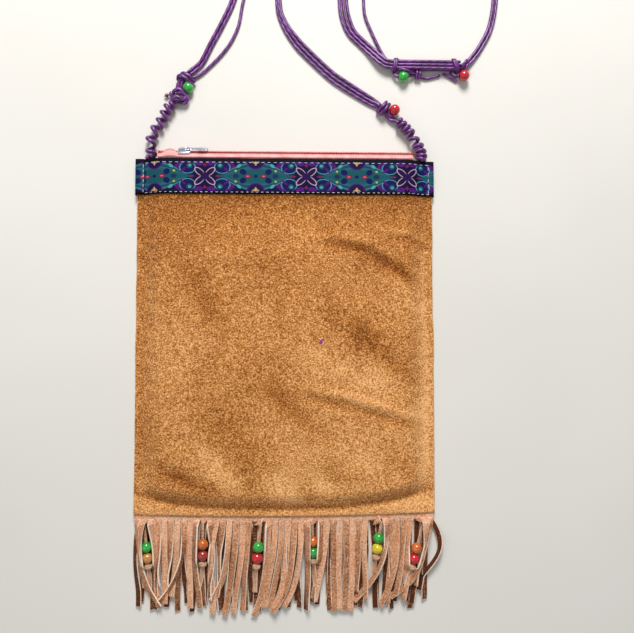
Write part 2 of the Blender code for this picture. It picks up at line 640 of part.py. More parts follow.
def strand(name, route, side, across):
    """One strand of a route: across is -1, 0 or 1 times the spread, to the left of the run."""
    laid = []
    for index, (x, y, height, spread, lift) in enumerate(route):
        shifted = x * 0.001 + from_corner(side, index)
        raised = height + (lift if across == 0 else 0)
        laid.append((shifted, MOUTH_Y + y * 0.001, STRAND_Z + raised * 0.001, spread * 0.001))
    fine = smooth_curve(laid)
    points = []
    for index, (x, y, z, spread) in enumerate(fine):
        before = fine[max(index - 1, 0)]
        after = fine[min(index + 1, len(fine) - 1)]
        run = Vector((after[0] - before[0], after[1] - before[1], 0)).normalized()
        points.append(Vector((x - run.y * spread * across, y + run.x * spread * across, z)))
    path = [(point, CORD / 2) for point in spaced(points, CORD_STEP)]
    finish(tube(name, path), CORD_PURPLE, 0.45)


def add_strands():
    strand("strand_pair_1", PAIR_ROUTE, -1, 1)
    strand("strand_pair_2", PAIR_ROUTE, -1, -1)
    strand("strand_single", SINGLE_ROUTE, -1, 0)
    for number, across in enumerate((1, 0, -1), 1):
        strand(f"strand_triple_{number}", TRIPLE_ROUTE, 1, across)


def add_spirals_and_knots():
    for side, label, spiral, knot in ((-1, "left", SPIRAL_LEFT, KNOT_LEFT),
                                      (1, "right", SPIRAL_RIGHT, KNOT_RIGHT)):
        shift = from_corner(side, 0)
        height = REST_GAP + SPIRAL_RADIUS
        route = [(x * 0.001 + shift, MOUTH_Y + y * 0.001) for x, y in spiral]
        fine = [Vector((x, y, height)) for x, y in smooth_curve(route)]
        path = [(point, SPIRAL_RADIUS) for point in spaced(fine, SPIRAL_RADIUS)]
        finish(tube(f"strap_spiral_{label}", path), CORD_PURPLE, 0.45)
        route = [(x * 0.001 + shift, MOUTH_Y + y * 0.001, r * 0.001) for x, y, r in knot]
        path = [(Vector((x, y, KNOT_HEIGHT)), r) for x, y, r in smooth_curve(route)[::10]]
        finish(tube(f"strap_knot_{label}", path), CORD_PURPLE, 0.45)


def add_strap_bead(name, mesh, radius, place, side, axis, colour):
    x, y, degrees, lift = place
    away = Matrix.Rotation(math.radians(degrees), 3, "Z") @ Vector((radius, 0, 0))
    corner = Vector((x * 0.001 + from_corner(side, 0), MOUTH_Y + y * 0.001, 0))
    middle = corner + away + Vector((0, 0, REST_GAP + radius + lift * 0.001))
    add_bead(name, mesh, middle, axis, colour)


def add_strap_beads(mesh):
    tip = bead_mesh("tip_bead", TIP_BEAD_RADIUS, TIP_BEAD_HOLE)
    for name, shape, radius, place, side, axis, colour in (
        ("strap_bead_left", mesh, BEAD_RADIUS, BEAD_SPOT_LEFT, -1, (0.6, 0.8, 0), GREEN),
        ("strap_bead_right", mesh, BEAD_RADIUS, BEAD_SPOT_RIGHT, 1, (-0.8, 0.6, 0), RED),
        ("adjuster_bead_left", mesh, BEAD_RADIUS, BEAD_SPOT_ADJUST_LEFT, 0, (1, 0.2, 0), GREEN),
        ("adjuster_bead_right", mesh, BEAD_RADIUS, BEAD_SPOT_ADJUST_RIGHT, 0, (1, 0.3, 0), RED),
        ("strap_tip_bead_left", tip, TIP_BEAD_RADIUS, BEAD_SPOT_TIP, -1, (1, -0.3, 0), DARK_PEARL),
    ):
        add_strap_bead(name, shape, radius, place, side, axis, colour)


def add_adjusters():
    """Two wrapped knots, each a sleeve round both layers of strands."""
    inner = STRAND_PITCH + CORD / 2 + SLEEVE_PLAY
    low = STRAND_Z + LOWER_LAYER - CORD / 2 - SLEEVE_PLAY
    high = STRAND_Z + UPPER_LAYER + CORD / 2 + SLEEVE_PLAY
    wall = SLEEVE_WALL
    half = SLEEVE_LENGTH / 2
    line = MOUTH_Y + ADJUST_LINE
    for name, x in (("adjuster_knot_left", ADJUST_LEFT), ("adjuster_knot_right", ADJUST_RIGHT)):
        frame = Matrix.Translation((x, line, 0))
        bm = box_bmesh((-half, -inner - wall, low - wall), (half, inner + wall, high + wall))
        sleeve = mesh_object(name, bm, frame)
        bevel_edges(sleeve, wall * 0.8)
        hole = box_bmesh((-half * 2, -inner, low), (half * 2, inner, high))
        boolean(sleeve, mesh_object(f"{name}_hole", hole, frame), "DIFFERENCE")
        finish(sleeve, CORD_PURPLE, 0.45)


# ---------------------------------------------------------------- build

def main():
    for item in list(bpy.data.objects):
        bpy.data.objects.remove(item, do_unlink=True)
    add_panels()
    add_ribbon()
    add_tapes()
    add_chain()
    add_slider()
    add_pull()
    add_fringe()
    add_thongs()
    mesh = bead_mesh("bead", BEAD_RADIUS, BEAD_HOLE)
    add_thong_beads(mesh)
    add_strap_beads(mesh)
    add_spirals_and_knots()
    add_strands()
    add_adjusters()


main()
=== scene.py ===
"""Fringed suede crossbody pouch: its soft goods, cords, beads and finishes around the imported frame."""
import json
import math
import random

import bmesh
import bpy
from mathutils import Matrix, Vector, noise


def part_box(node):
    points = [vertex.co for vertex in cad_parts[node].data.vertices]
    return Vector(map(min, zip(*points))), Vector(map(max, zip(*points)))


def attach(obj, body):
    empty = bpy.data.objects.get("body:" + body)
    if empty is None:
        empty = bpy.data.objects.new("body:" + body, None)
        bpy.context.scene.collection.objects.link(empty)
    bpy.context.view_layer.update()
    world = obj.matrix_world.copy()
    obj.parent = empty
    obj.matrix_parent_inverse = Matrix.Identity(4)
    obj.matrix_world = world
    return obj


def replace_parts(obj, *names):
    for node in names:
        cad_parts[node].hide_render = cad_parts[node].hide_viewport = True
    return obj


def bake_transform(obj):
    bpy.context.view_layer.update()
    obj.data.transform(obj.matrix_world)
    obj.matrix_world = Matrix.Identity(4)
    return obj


noise.seed_set(5)
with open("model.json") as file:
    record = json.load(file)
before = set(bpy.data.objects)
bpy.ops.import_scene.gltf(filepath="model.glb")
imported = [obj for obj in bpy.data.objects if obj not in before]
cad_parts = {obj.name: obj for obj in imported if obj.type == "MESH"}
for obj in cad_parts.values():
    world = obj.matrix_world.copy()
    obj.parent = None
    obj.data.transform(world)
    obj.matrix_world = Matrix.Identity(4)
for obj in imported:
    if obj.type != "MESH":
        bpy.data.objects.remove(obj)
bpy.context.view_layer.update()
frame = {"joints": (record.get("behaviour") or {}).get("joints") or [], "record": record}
MM = 0.001

# ---------------------------------------------------------------- sizes read from the frame
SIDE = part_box("front_panel")[1].x
SEAM_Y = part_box("front_panel")[0].y
MOUTH_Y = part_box("front_panel")[1].y
RIBBON_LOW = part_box("ribbon_back")[0].y
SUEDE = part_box("fringe_back")[1].z
FRINGE_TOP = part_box("fringe_front")[1].z
COIL_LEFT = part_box("zip_coil_front")[0].x
COIL_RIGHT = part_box("zip_coil_front")[1].x
JOINTS = {joint["name"]: joint for joint in frame["joints"]}
SLIDER_X = JOINTS["pull_swing"]["pos_m"][0]
CHAIN_NORMAL = Vector(JOINTS["pull_swing"]["axis"])
CHAIN_LOW = Vector(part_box("zip_stop_right")[0])
CHAIN_HIGH = Vector(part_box("zip_stop_right")[1])
CHAIN_MIDDLE = (CHAIN_LOW + CHAIN_HIGH) / 2
CHAIN_FRAME = Matrix.Translation((0, CHAIN_MIDDLE.y, CHAIN_MIDDLE.z)) @ Matrix.Rotation(
    -math.acos(CHAIN_NORMAL.z), 4, "X")

# ---------------------------------------------------------------- sizes of the soft goods
GAP = 0.0003
MARGIN = 0.004               # flat sewn margin of the panels
CROWN_RUN = 0.016
CROWN_HEIGHT = 0.0066
MOUTH_CROWN = 0.0046
TUCK = 0.003                 # fringe header sewn in under the front panel
RIBBON = 0.0008
TURN_OUT = 0.0011            # how far the band stands out where it turns over a side edge
LAP = 0.0056
BACK_LIFT = 0.00005          # back run above the resting surface
LAP_LIFT = 0.0001            # lap above the front run
BAND_PROUD = 0.0002          # how far the band stands past the mouth edge
TAPE = 0.0005                # zip tape thickness
TAPE_BEYOND = 0.0018         # tape past either end of the chain
PULL_THICK = 0.00084
COIL_PITCH = 0.00125
COIL_ASIDE = 0.00125         # middle of each half of the chain, from its centre line
COIL_RADIUS = 0.00055
COIL_WIRE = 0.00029
TACK_TURNS = 5
TACK_STEPS = 10
TACK_ACROSS = 0.0018         # half the width of an end tack
TACK_UP = 0.00075
TACK_WIRE = 0.00028
TACK_IN = 0.0002
OPEN_BY = 0.0026             # how far the front half stands open behind the slider
OPEN_RISE = 0.0012
STEP_RUN = 0.006
CORD = 0.0024
SPIRAL_CORD = 0.0030
SPIRAL_RADIUS = 0.0044       # outside radius of a spiral's turns
KNOT_CORD = 0.0028
WRAP_RADIUS = CORD * 0.46    # cord of the adjusters, drawn thin by its tension
REST_GAP = 0.0001
STRAND_Z = REST_GAP + CORD / 2
BEAD_RADIUS = 0.004
BEAD_HOLE = 0.0013
THREAD = 0.00022             # stitch thread radius
STITCH_PITCH = 0.0044
TACK_SPOT = (0.0261, 0.0288)  # small bar of thread on the front panel
TACK_STITCHES = 6
TACK_HALF = 0.0017
TACK_LEAN = 0.0003
PANEL_STITCH_IN = 0.0034     # the panel's stitches, from its edges
TOP_STITCH_IN = 0.0028       # the ribbon's upper stitches, from the mouth edge
STITCH_IN = 0.0013           # the ribbon's lower stitches, from its edge


# ---------------------------------------------------------------- small helpers

def smoothstep(value):
    value = min(max(value, 0.0), 1.0)
    return value * value * (3 - 2 * value)


def blend_between(a, b, share):
    return a + (b - a) * share


def fractal(x, y, seed, scale):
    """Smooth noise of about -1 to 1 over the plane."""
    return noise.fractal(Vector((x * scale, y * scale, seed)), 0.8, 2.1, 3)


def link(item):
    bpy.context.scene.collection.objects.link(item)
    return item


def piece(name, bm, finishes, body=None):
    """A smooth-shaded piece from a bmesh, riding on a body."""
    mesh = bpy.data.meshes.new(name)
    bm.to_mesh(mesh)
    bm.free()
    mesh.shade_smooth()
    for finish in finishes:
        mesh.materials.append(finish)
    item = link(bpy.data.objects.new(name, mesh))
    if body:
        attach(item, body)
    return item


def thicken(item, thickness, offset, rim_finish=1, bevel=0.0):
    """Give a sheet its thickness, with a cut edge of its own finish."""
    wall = item.modifiers.new("wall", "SOLIDIFY")
    wall.thickness = thickness
    wall.offset = offset
    wall.material_offset_rim = rim_finish
    if bevel:
        edge = item.modifiers.new("edge", "BEVEL")
        edge.width = bevel
        edge.segments = 2
        edge.limit_method = "ANGLE"
        edge.angle_limit = math.radians(50)
        edge.material = rim_finish
    return item


def apply_modifiers(item):
    depsgraph = bpy.context.evaluated_depsgraph_get()
    mesh = bpy.data.meshes.new_from_object(item.evaluated_get(depsgraph))
    item.modifiers.clear()
    item.data = mesh
    return item


# ---------------------------------------------------------------- finishes

def operation(kind):
    """A method that adds a Math node of one kind."""
    return lambda self, *others: self.math(kind, *others)


class Value:
    """A socket of a finish. Python arithmetic on it adds Math nodes."""

    def __init__(self, finish, socket):
        self.finish = finish
        self.socket = socket

    def math(self, kind, *others):
        return self.finish.add("Math", {"operation": kind}, self, *others)

    __add__ = __radd__ = operation("ADD")
    __sub__ = operation("SUBTRACT")
    __mul__ = __rmul__ = operation("MULTIPLY")
    __truediv__ = operation("DIVIDE")
    __pow__ = operation("POWER")
    absolute = operation("ABSOLUTE")

    def __rsub__(self, other):
        return self.finish.add("Math", {"operation": "SUBTRACT"}, other, self)

    def step(self, edge, soft):
        """1 below the edge and 0 above it, with a soft change."""
        return self.finish.add("MapRange", {"clamp": True, "interpolation_type": "SMOOTHSTEP"},
                               self, edge - soft, edge + soft, 1.0, 0.0)


class Finish:
    """A material made of a Principled shader and the nodes that feed it."""

    def __init__(self, name, colour, roughness, metallic=0.0, **constants):
        self.material = bpy.data.materials.new(name)
        self.material.use_nodes = True
        self.tree = self.material.node_tree
        self.shader = self.tree.nodes["Principled BSDF"]
        self.feed("Base Color", colour)
        self.feed("Roughness", roughness)
        self.feed("Metallic", metallic)
        for socket, value in constants.items():
            self.feed(socket.replace("_", " "), value)

    def plug(self, target, value):
        if isinstance(value, Value):
            self.tree.links.new(value.socket, target)
        elif isinstance(value, tuple) and len(value) == 3 and len(target.default_value) == 4:
            target.default_value = (*value, 1)
        else:
            target.default_value = value

    def feed(self, socket, value):
        self.plug(self.shader.inputs[socket], value)

    def add(self, kind, settings, *values, output=0, **named):
        """A node of a type: its settings first, then values or links for its sockets."""
        node = self.tree.nodes.new("ShaderNode" + kind)
        for name, setting in settings.items():
            if name == "stops":
                while len(node.color_ramp.elements) < len(setting):
                    node.color_ramp.elements.new(0.5)
                for element, (place, colour) in zip(node.color_ramp.elements, setting):
                    element.position = place
                    element.color = (*colour, 1)
            else:
                setattr(node, name, setting)
        for key, value in [*enumerate(values), *named.items()]:
            self.plug(node.inputs[key], value)
        return Value(self, node.outputs[output])

    def coordinates(self, kind="Object", scale=(1, 1, 1)):
        place = self.add("TexCoord", {}, output=kind)
        return self.add("Mapping", {}, Vector=place, Scale=scale)

    def uv(self):
        """The piece's own two surface coordinates, as numbers."""
        place = self.add("TexCoord", {}, output="UV")
        split = self.add("SeparateXYZ", {}, place)
        return split, Value(self, split.socket.node.outputs[1])

    def noise(self, scale, detail=2.0, place=None, roughness=0.5):
        place = place or self.coordinates()
        return self.add("TexNoise", {}, Vector=place, Scale=scale, Detail=detail, Roughness=roughness)

    def ramp(self, value, *stops):
        return self.add("ValToRGB", {"stops": stops}, value)

    def tint(self, value, *stops):
        """Base colour from a value, by stops of (value, colour)."""
        self.feed("Base Color", self.ramp(value, *stops))

    def mix(self, factor, low, high, kind="MIX"):
        node = self.tree.nodes.new("ShaderNodeMix")
        node.data_type = "RGBA"
        node.blend_type = kind
        self.plug(node.inputs[0], factor)
        self.plug(node.inputs[6], low)
        self.plug(node.inputs[7], high)
        return Value(self, node.outputs[2])

    def bump(self, height, strength, distance):
        normal = self.add("Bump", {}, Height=height, Strength=strength, Distance=distance)
        self.feed("Normal", normal)


def suede(name, dark, middle, light, contrast=1.0, patch_scale=13.0):
    """Napped split leather: brushed patches under a fine, speckled nap, plus the painted light and shade of
    each piece's shade attribute.
    """
    finish = Finish(name, middle, 0.95, Sheen_Weight=0.1, Sheen_Roughness=0.5, Specular_IOR_Level=0.15)
    patches = finish.noise(patch_scale, 3.0)
    mottle = finish.noise(260.0, 2.0)
    grain = finish.noise(900.0, 3.0, roughness=0.65)
    # shade: painted light and shade set per vertex, mixed with some real tone of the nap
    shade = finish.add("Attribute", {"attribute_name": "shade"}, output=2)
    tone = (patches - 0.5) * 0.45 + (mottle - 0.5) * 0.3 * contrast
    tone = tone + (grain - 0.5) * 2.1 * contrast + shade + 0.5
    finish.tint(tone, (0.05, dark), (0.5, middle), (0.95, light))
    finish.bump(grain, 0.7, 0.0011)
    return finish.material


def cut_edge(name, low, high):
    """The pale, fibrous cut edge of suede."""
    finish = Finish(name, low, 0.95, Specular_IOR_Level=0.2)
    fibres = finish.noise(900.0, 2.0)
    finish.tint(fibres, (0.3, low), (0.7, high))
    finish.bump(fibres, 0.4, 0.0003)
    return finish.material


def waxed_cord():
    """Twisted cotton, waxed: fine slanting strands under a low sheen."""
    finish = Finish("waxed_cord", (0.13, 0.02, 0.2), 0.38, Specular_IOR_Level=0.55, Coat_Weight=0.25,
                    Coat_Roughness=0.3)
    along, around = finish.uv()
    twist = ((along * 1.0 + around * 2.0) * (2 * math.pi)).math("SINE")
    fibres = finish.noise(1400.0, 2.0)
    worn = finish.noise(120.0, 2.0)
    # twist paints shade in the grooves between the strands; fibres and worn vary the tone at random
    tone = twist * 0.16 + fibres * 0.5 + worn * 0.6 - 0.05
    finish.tint(tone, (0.25, (0.035, 0.003, 0.05)), (0.55, (0.135, 0.018, 0.185)),
                (0.85, (0.29, 0.08, 0.37)))
    finish.bump(twist * 0.5 + fibres * 0.6, 0.35, 0.0002)
    return finish.material


def bead_finish(name, colour):
    """Glossy painted bead, with a slightly uneven coat."""
    finish = Finish(name, colour, 0.22, Coat_Weight=0.7, Coat_Roughness=0.06)
    cloud = finish.noise(260.0, 2.0)
    deep = tuple(channel * 0.62 for channel in colour)
    finish.tint(cloud, (0.3, deep), (0.62, colour))
    finish.bump(finish.noise(500.0, 1.0), 0.08, 0.0002)
    return finish.material


def nickel():
    # The blue tint of the base colour is a painted reflection of bluish surroundings.
    finish = Finish("bright_nickel", (0.82, 0.88, 0.97), 0.2, 1.0)
    wear = finish.noise(700.0, 3.0)
    finish.feed("Roughness", wear * 0.25 + 0.1)
    finish.bump(wear, 0.08, 0.0001)
    return finish.material


def tape_weave():
    """Coral zip tape: a fine twill."""
    finish = Finish("coral_tape", (0.85, 0.3, 0.25), 0.85, Sheen_Weight=0.2)
    along, across = finish.uv()
    twill = ((along + across) * (2 * math.pi / 0.0007)).math("SINE")
    ribs = (across * (2 * math.pi / 0.0009)).math("SINE")
    cloud = finish.noise(150.0, 2.0)
    tone = twill * 0.12 + ribs * 0.08 + cloud * 0.7
    finish.tint(tone, (0.1, (0.66, 0.2, 0.19)), (0.4, (0.82, 0.38, 0.37)), (0.8, (0.93, 0.6, 0.6)))
    finish.bump(twill * 0.5 + ribs * 0.5, 0.3, 0.0001)
    return finish.material


def plain(name, low, high, roughness, scale=600.0, **constants):
    """Thread, nylon and other small goods: two close tones with a fine grain."""
    finish = Finish(name, low, roughness, **constants)
    grain = finish.noise(scale, 2.0)
    finish.tint(grain, (0.35, low), (0.65, high))
    finish.bump(grain, 0.25, 0.0001)
    return finish.material


def floor_finish():
    finish = Finish("pale_floor", (0.74, 0.71, 0.65), 0.75)
    cloud = finish.noise(3.0, 3.0)
    finish.tint(cloud, (0.3, (0.7, 0.675, 0.62)), (0.7, (0.77, 0.745, 0.69)))
    return finish.material


# Ribbon colours
NAVY = (0.004, 0.002, 0.045)
BORDER = (0.002, 0.002, 0.005)
TEAL = (0.008, 0.09, 0.115)
PALE_TEAL = (0.08, 0.36, 0.38)
DEEP_BLUE = (0.003, 0.008, 0.085)
VIOLET = (0.085, 0.005, 0.17)
MAGENTA = (0.22, 0.008, 0.08)
CRIMSON = (0.48, 0.015, 0.07)
GOLD = (0.55, 0.3, 0.07)
CREAM = (0.68, 0.46, 0.44)
LIME = (0.4, 0.45, 0.1)
MOTIF_PERIOD = 74.1          # mm
FLOWER_AT = 16.1             # mm along the front run, a flower's middle
BAND_MIDDLE = 13.0           # mm from the ribbon's lower edge


def ribbon_weave():
    """Jacquard ribbon: four-petalled flowers between medallions, mirrored about both middles.

    a is the distance from the nearest flower's middle, b from the nearest medallion's, and w from
    the ribbon's middle line, all in millimetres.
    """
    finish = Finish("jacquard_ribbon", NAVY, 0.65, Specular_IOR_Level=0.1)
    along, across = finish.uv()
    along = along * 1000
    across = across * 1000
    threads = finish.noise(1.0, 1.0, finish.coordinates("UV", (2600, 700, 1)))
    along = along + (threads - 0.5) * 0.35
    half = MOTIF_PERIOD / 2
    a = ((along - FLOWER_AT + half + MOTIF_PERIOD * 8).math("MODULO", MOTIF_PERIOD) - half).absolute()
    b = half - a
    v = across - BAND_MIDDLE
    w = v.absolute()
    colour = finish.mix(0.0, NAVY, NAVY)

    def ellipse(x, y, centre, sizes, tilt=0.0):
        """1 on an ellipse's outline, less inside it."""
        dx = x - centre[0]
        dy = y - centre[1]
        turn = math.radians(tilt)
        px = (dx * math.cos(turn) + dy * math.sin(turn)) / sizes[0]
        py = (dy * math.cos(turn) - dx * math.sin(turn)) / sizes[1]
        return (px * px + py * py) ** 0.5

    def paint(mask, tone, strength=1.0):
        nonlocal colour
        colour = finish.mix(mask * strength, colour, tone)

    def disc(x, y, centre, sizes, tone, tilt=0.0, soft=0.08):
        paint(ellipse(x, y, centre, sizes, tilt).step(1.0, soft), tone)

    def ring(x, y, centre, sizes, tone, width=0.12, tilt=0.0):
        paint((ellipse(x, y, centre, sizes, tilt) - 1.0).absolute().step(width, width * 0.5), tone)

    def lozenge(x, y, centre, sizes, tone):
        reach = (x - centre[0]).absolute() / sizes[0] + (y - centre[1]).absolute() / sizes[1]
        paint(reach.step(1.0, 0.15), tone)

    # Violet leaves and teal scrolls between flower and medallion
    disc(a, w, (17.6, 8.4), (5.2, 2.3), VIOLET, -26)
    disc(a, w, (4.6, 9.6), (3.2, 1.8), (0.09, 0.008, 0.2), 10)
    ground = ((b / 24.5).math("MINIMUM", 1.0) * (math.pi / 2)).math("COSINE") ** 0.85 * 10.8
    paint((w - ground).step(0.0, 0.35), TEAL)
    paint((w - ground * 0.6).absolute().step(0.0, 2.4), PALE_TEAL, 0.35)
    paint((w - ground * 0.93).absolute().step(0.25, 0.25), PALE_TEAL, 0.7)
    paint((w - ground * 0.72).absolute().step(0.3, 0.35), DEEP_BLUE, 0.8)
    disc(a, w, (12.6, 6.2), (6.3, 4.7), DEEP_BLUE)
    ring(a, w, (12.6, 6.2), (5.7, 4.2), PALE_TEAL, 0.06)
    disc(a, w, (12.6, 7.8), (4.6, 3.0), (0.012, 0.004, 0.09))
    disc(a, w, (11.2, 7.6), (2.1, 1.9), TEAL)
    disc(a, w, (11.0, 7.9), (1.2, 1.0), PALE_TEAL)
    disc(a, w, (15.8, 4.6), (2.6, 0.9), VIOLET, -40)
    # Medallion
    disc(b, w, (9.3, 3.2), (2.5, 2.1), DEEP_BLUE, 30)
    disc(b, w, (12.2, 7.6), (2.0, 1.1), PALE_TEAL, -35)
    disc(b, w, (0.0, 10.9), (6.6, 5.9), (0.008, 0.006, 0.075))
    ring(b, w, (0.0, 10.9), (6.2, 5.5), VIOLET, 0.07)
    disc(b, w, (0.0, 11.2), (4.4, 3.8), (0.006, 0.006, 0.05))
    disc(b, w, (0.0, 9.6), (0.8, 1.7), CREAM)
    disc(b, w, (1.5, 10.2), (1.6, 0.6), GOLD, 35)
    disc(b, w, (0.0, 8.6), (0.5, 0.6), GOLD)
    lozenge(b, w, (5.8, 0.0), (2.9, 1.9), (0.03, 0.01, 0.06))
    lozenge(b, w, (5.8, 0.0), (2.3, 1.4), CRIMSON)
    disc(b, w, (5.8, 0.0), (0.9, 0.35), (0.75, 0.2, 0.3))
    disc(b, w, (0.0, 0.0), (1.4, 1.2), DEEP_BLUE)
    disc(b, w, (14.4, 0.0), (2.2, 1.6), (0.006, 0.03, 0.09))
    disc(b, w, (14.6, 3.9), (1.25, 1.15), (0.01, 0.06, 0.06))
    disc(b, w, (14.6, 3.9), (0.95, 0.85), LIME)
    disc(b, w, (23.5, 0.0), (3.4, 0.7), TEAL)
    # Flower
    disc(a, w, (0.0, 0.0), (8.8, 7.6), NAVY, soft=0.15)
    disc(a, w, (3.9, 3.2), (4.5, 2.2), CREAM, 40)
    disc(a, w, (3.7, 3.05), (4.1, 1.75), (0.02, 0.003, 0.08), 40)
    disc(a, w, (3.2, 2.6), (2.6, 0.45), (0.01, 0.003, 0.03), 40)
    disc(a, w, (0.0, 0.0), (3.2, 2.7), (0.02, 0.003, 0.08), soft=0.2)
    lozenge(a, w, (0.0, 8.2), (1.5, 1.5), MAGENTA)
    lozenge(a, w, (9.6, 0.0), (2.3, 0.8), MAGENTA)
    lozenge(a, w, (4.3, 9.6), (1.3, 0.9), VIOLET)
    # Borders and weave
    edge = w - 10.9
    paint(1 - edge.step(0.0, 0.2), BORDER)
    grain = finish.noise(1.0, 2.0, finish.coordinates("UV", (1500, 4200, 1)))
    threadbare = finish.ramp(grain, (0.25, (0.45, 0.45, 0.45)), (0.7, (1.0, 1.0, 1.0)))
    colour = finish.mix(0.75, colour, threadbare, "MULTIPLY")
    finish.feed("Base Color", colour)
    warp = (across * (2 * math.pi / 0.42)).math("SINE")
    weft = (along * (2 * math.pi / 0.5)).math("SINE")
    finish.bump(warp * 0.4 + weft * 0.4 + grain * 0.8, 0.4, 0.00012)
    return finish.material


FRONT_SUEDE = suede("caramel_suede", (0.17, 0.04, 0.003), (0.53, 0.205, 0.045), (0.97, 0.53, 0.22), 1.2)
BACK_SUEDE = suede("caramel_suede_back", (0.24, 0.08, 0.014), (0.5, 0.22, 0.06), (0.78, 0.42, 0.17))
FRINGE_SUEDE = suede("fringe_suede", (0.09, 0.022, 0.004), (0.62, 0.285, 0.14), (0.97, 0.62, 0.42),
                     0.7, 30.0)
THONG_SUEDE = suede("thong_suede", (0.34, 0.16, 0.08), (0.6, 0.34, 0.2), (0.84, 0.58, 0.4), 0.5, 40.0)
PALE_EDGE = cut_edge("suede_cut_edge", (0.8, 0.56, 0.4), (0.96, 0.82, 0.68))
PANEL_EDGE = cut_edge("panel_cut_edge", (0.58, 0.33, 0.14), (0.8, 0.56, 0.34))
WAXED_CORD = waxed_cord()
RIBBON_WEAVE = ribbon_weave()
CORAL_TAPE = tape_weave()
CORAL_NYLON = plain("coral_nylon", (0.46, 0.05, 0.05), (0.7, 0.15, 0.13), 0.42, Specular_IOR_Level=0.5)
TACK_THREAD = plain("red_tack_thread", (0.3, 0.01, 0.015), (0.5, 0.03, 0.03), 0.7)
PALE_THREAD = plain("pale_stitch_thread", (0.36, 0.34, 0.46), (0.6, 0.57, 0.68), 0.65)
TAN_THREAD = plain("tan_stitch_thread", (0.36, 0.16, 0.05), (0.5, 0.26, 0.1), 0.75)
PURPLE_THREAD = plain("purple_stitch_thread", (0.16, 0.02, 0.2), (0.3, 0.06, 0.34), 0.7)
NICKEL = nickel()
BEAD_COLOURS = {
    "bead_green": (0.03, 0.42, 0.05),
    "bead_ochre": (0.62, 0.28, 0.06),
    "bead_yellow": (0.86, 0.66, 0.02),
    "bead_orange": (0.68, 0.15, 0.02),
    "bead_red": (0.6, 0.012, 0.02),
    "bead_dark_red": (0.36, 0.03, 0.02),
    "bead_tip": (0.16, 0.16, 0.42),
}
SEED_GLASS = bead_finish("seed_glass", (0.3, 0.01, 0.02))
BEAD_FINISHES = {slot: bead_finish(slot + "_paint", colour) for slot, colour in BEAD_COLOURS.items()}


# ---------------------------------------------------------------- camera, light and floor
VIEW_FROM = (0.0084, 0.0255, 0.5027)
VIEW_TURN = (math.radians(2.54), math.radians(-1.71), 0)
VIEW_ANGLE = math.radians(50)


def add_camera():
    data = bpy.data.cameras.new("camera")
    data.angle = VIEW_ANGLE
    data.clip_start = 0.01
    camera = link(bpy.data.objects.new("camera", data))
    camera.location = VIEW_FROM
    camera.rotation_euler = VIEW_TURN
    bpy.context.scene.camera = camera


def add_light(name, place, size, power):
    data = bpy.data.lights.new(name, "AREA")
    data.shape = "DISK"
    data.size = size
    data.energy = power
    light = link(bpy.data.objects.new(name, data))
    light.location = place
    light.rotation_euler = (Vector(place) - Vector((0, 0.03, 0))).to_track_quat("Z", "Y").to_euler()


def add_studio():
    add_light("window_light", (0.02, 1.0, 0.8), 0.5, 17)
    add_light("fill_light", (-0.7, -0.4, 1.1), 1.2, 2.0)
    world = bpy.data.worlds.new("studio")
    world.use_nodes = True
    world.node_tree.nodes["Background"].inputs["Color"].default_value = (0.97, 0.98, 1, 1)
    world.node_tree.nodes["Background"].inputs["Strength"].default_value = 0.36
    bpy.context.scene.world = world
    bpy.context.scene.view_settings.view_transform = "Standard"
    bm = bmesh.new()
    bmesh.ops.create_grid(bm, x_segments=1, y_segments=1, size=3)
    floor = piece("floor", bm, [floor_finish()])


# ---------------------------------------------------------------- cords
# Route points are (x, y beyond the mouth edge), in millimetres, followed by the height above lying
# flat, half the spread of the outer strands, and the lift of the middle one.
SPIRAL_LEFT = ((-98.8, 1.0), (-98.8, 4.0), (-99.2, 14.0), (-96.6, 21.3), (-92.0, 28.6),
               (-87.8, 37.0), (-84.6, 41.8))
SPIRAL_RIGHT = ((101.2, 1.0), (101.2, 4.5), (100.0, 9.6), (96.6, 14.8), (92.2, 22.0),
                (88.8, 25.8), (84.2, 29.8))
PAIR_ROUTE = [(*point, 1.3, 0) for point in (
    (-72.4, 65.3, 1.2), (-69.2, 68.6, 0.3), (-62.8, 74.6, 0), (-55.9, 88.5, 0), (-49.1, 101.6, 0),
    (-41.4, 118, 0), (-37.8, 130, 0), (-36.0, 144, 0), (-34.0, 169, 0), (-24.0, 196, 0), (-2.0, 220, 0),
    (28.0, 235, 0), (62.0, 240, 0), (98.0, 235, 0), (128.0, 217, 0), (148.0, 189, 0), (157.0, 157, 0),
    (159.0, 137, 0), (157.7, 118, 0), (154.0, 102.4, 0), (147.0, 89.0, 0.1), (141.0, 80.6, 0.5),
    (136.0, 75.4, 1.0), (131.2, 72.7, 1.25), (125.0, 72.2, 1.25), (105.0, 72.2, 1.25),
    (85.0, 72.2, 1.25), (79.2, 72.2, 1.25),
)]
SINGLE_ROUTE = [(*point, 0, 0) for point in (
    (-70.2, 62.0, 1.2), (-67.2, 63.6, 0.4), (-62.4, 66.4, 0), (-54.5, 73.9, 0), (-47.8, 81.2, 0),
    (-41.1, 90.6, 0), (-35.6, 103.1, 0), (-32.9, 118, 0), (-30.5, 131, 0), (-29.0, 149, 0),
    (-26.0, 172, 0), (-17.0, 195, 0), (0.0, 211, 0), (17.0, 215, 0), (35.0, 209, 0), (49.0, 191, 0),
    (55.5, 167, 0), (58.0, 142, 0), (58.8, 118, 0), (60.2, 110.0, 0), (63.2, 102.5, 0), (67.8, 92.2, 0),
    (71.6, 84.6, 0.1), (75.0, 78.8, 0.8), (77.6, 76.1, 1.25), (83.0, 76.0, 1.25), (90.0, 76.0, 1.25),
    (97.0, 76.0, 1.25),
)]
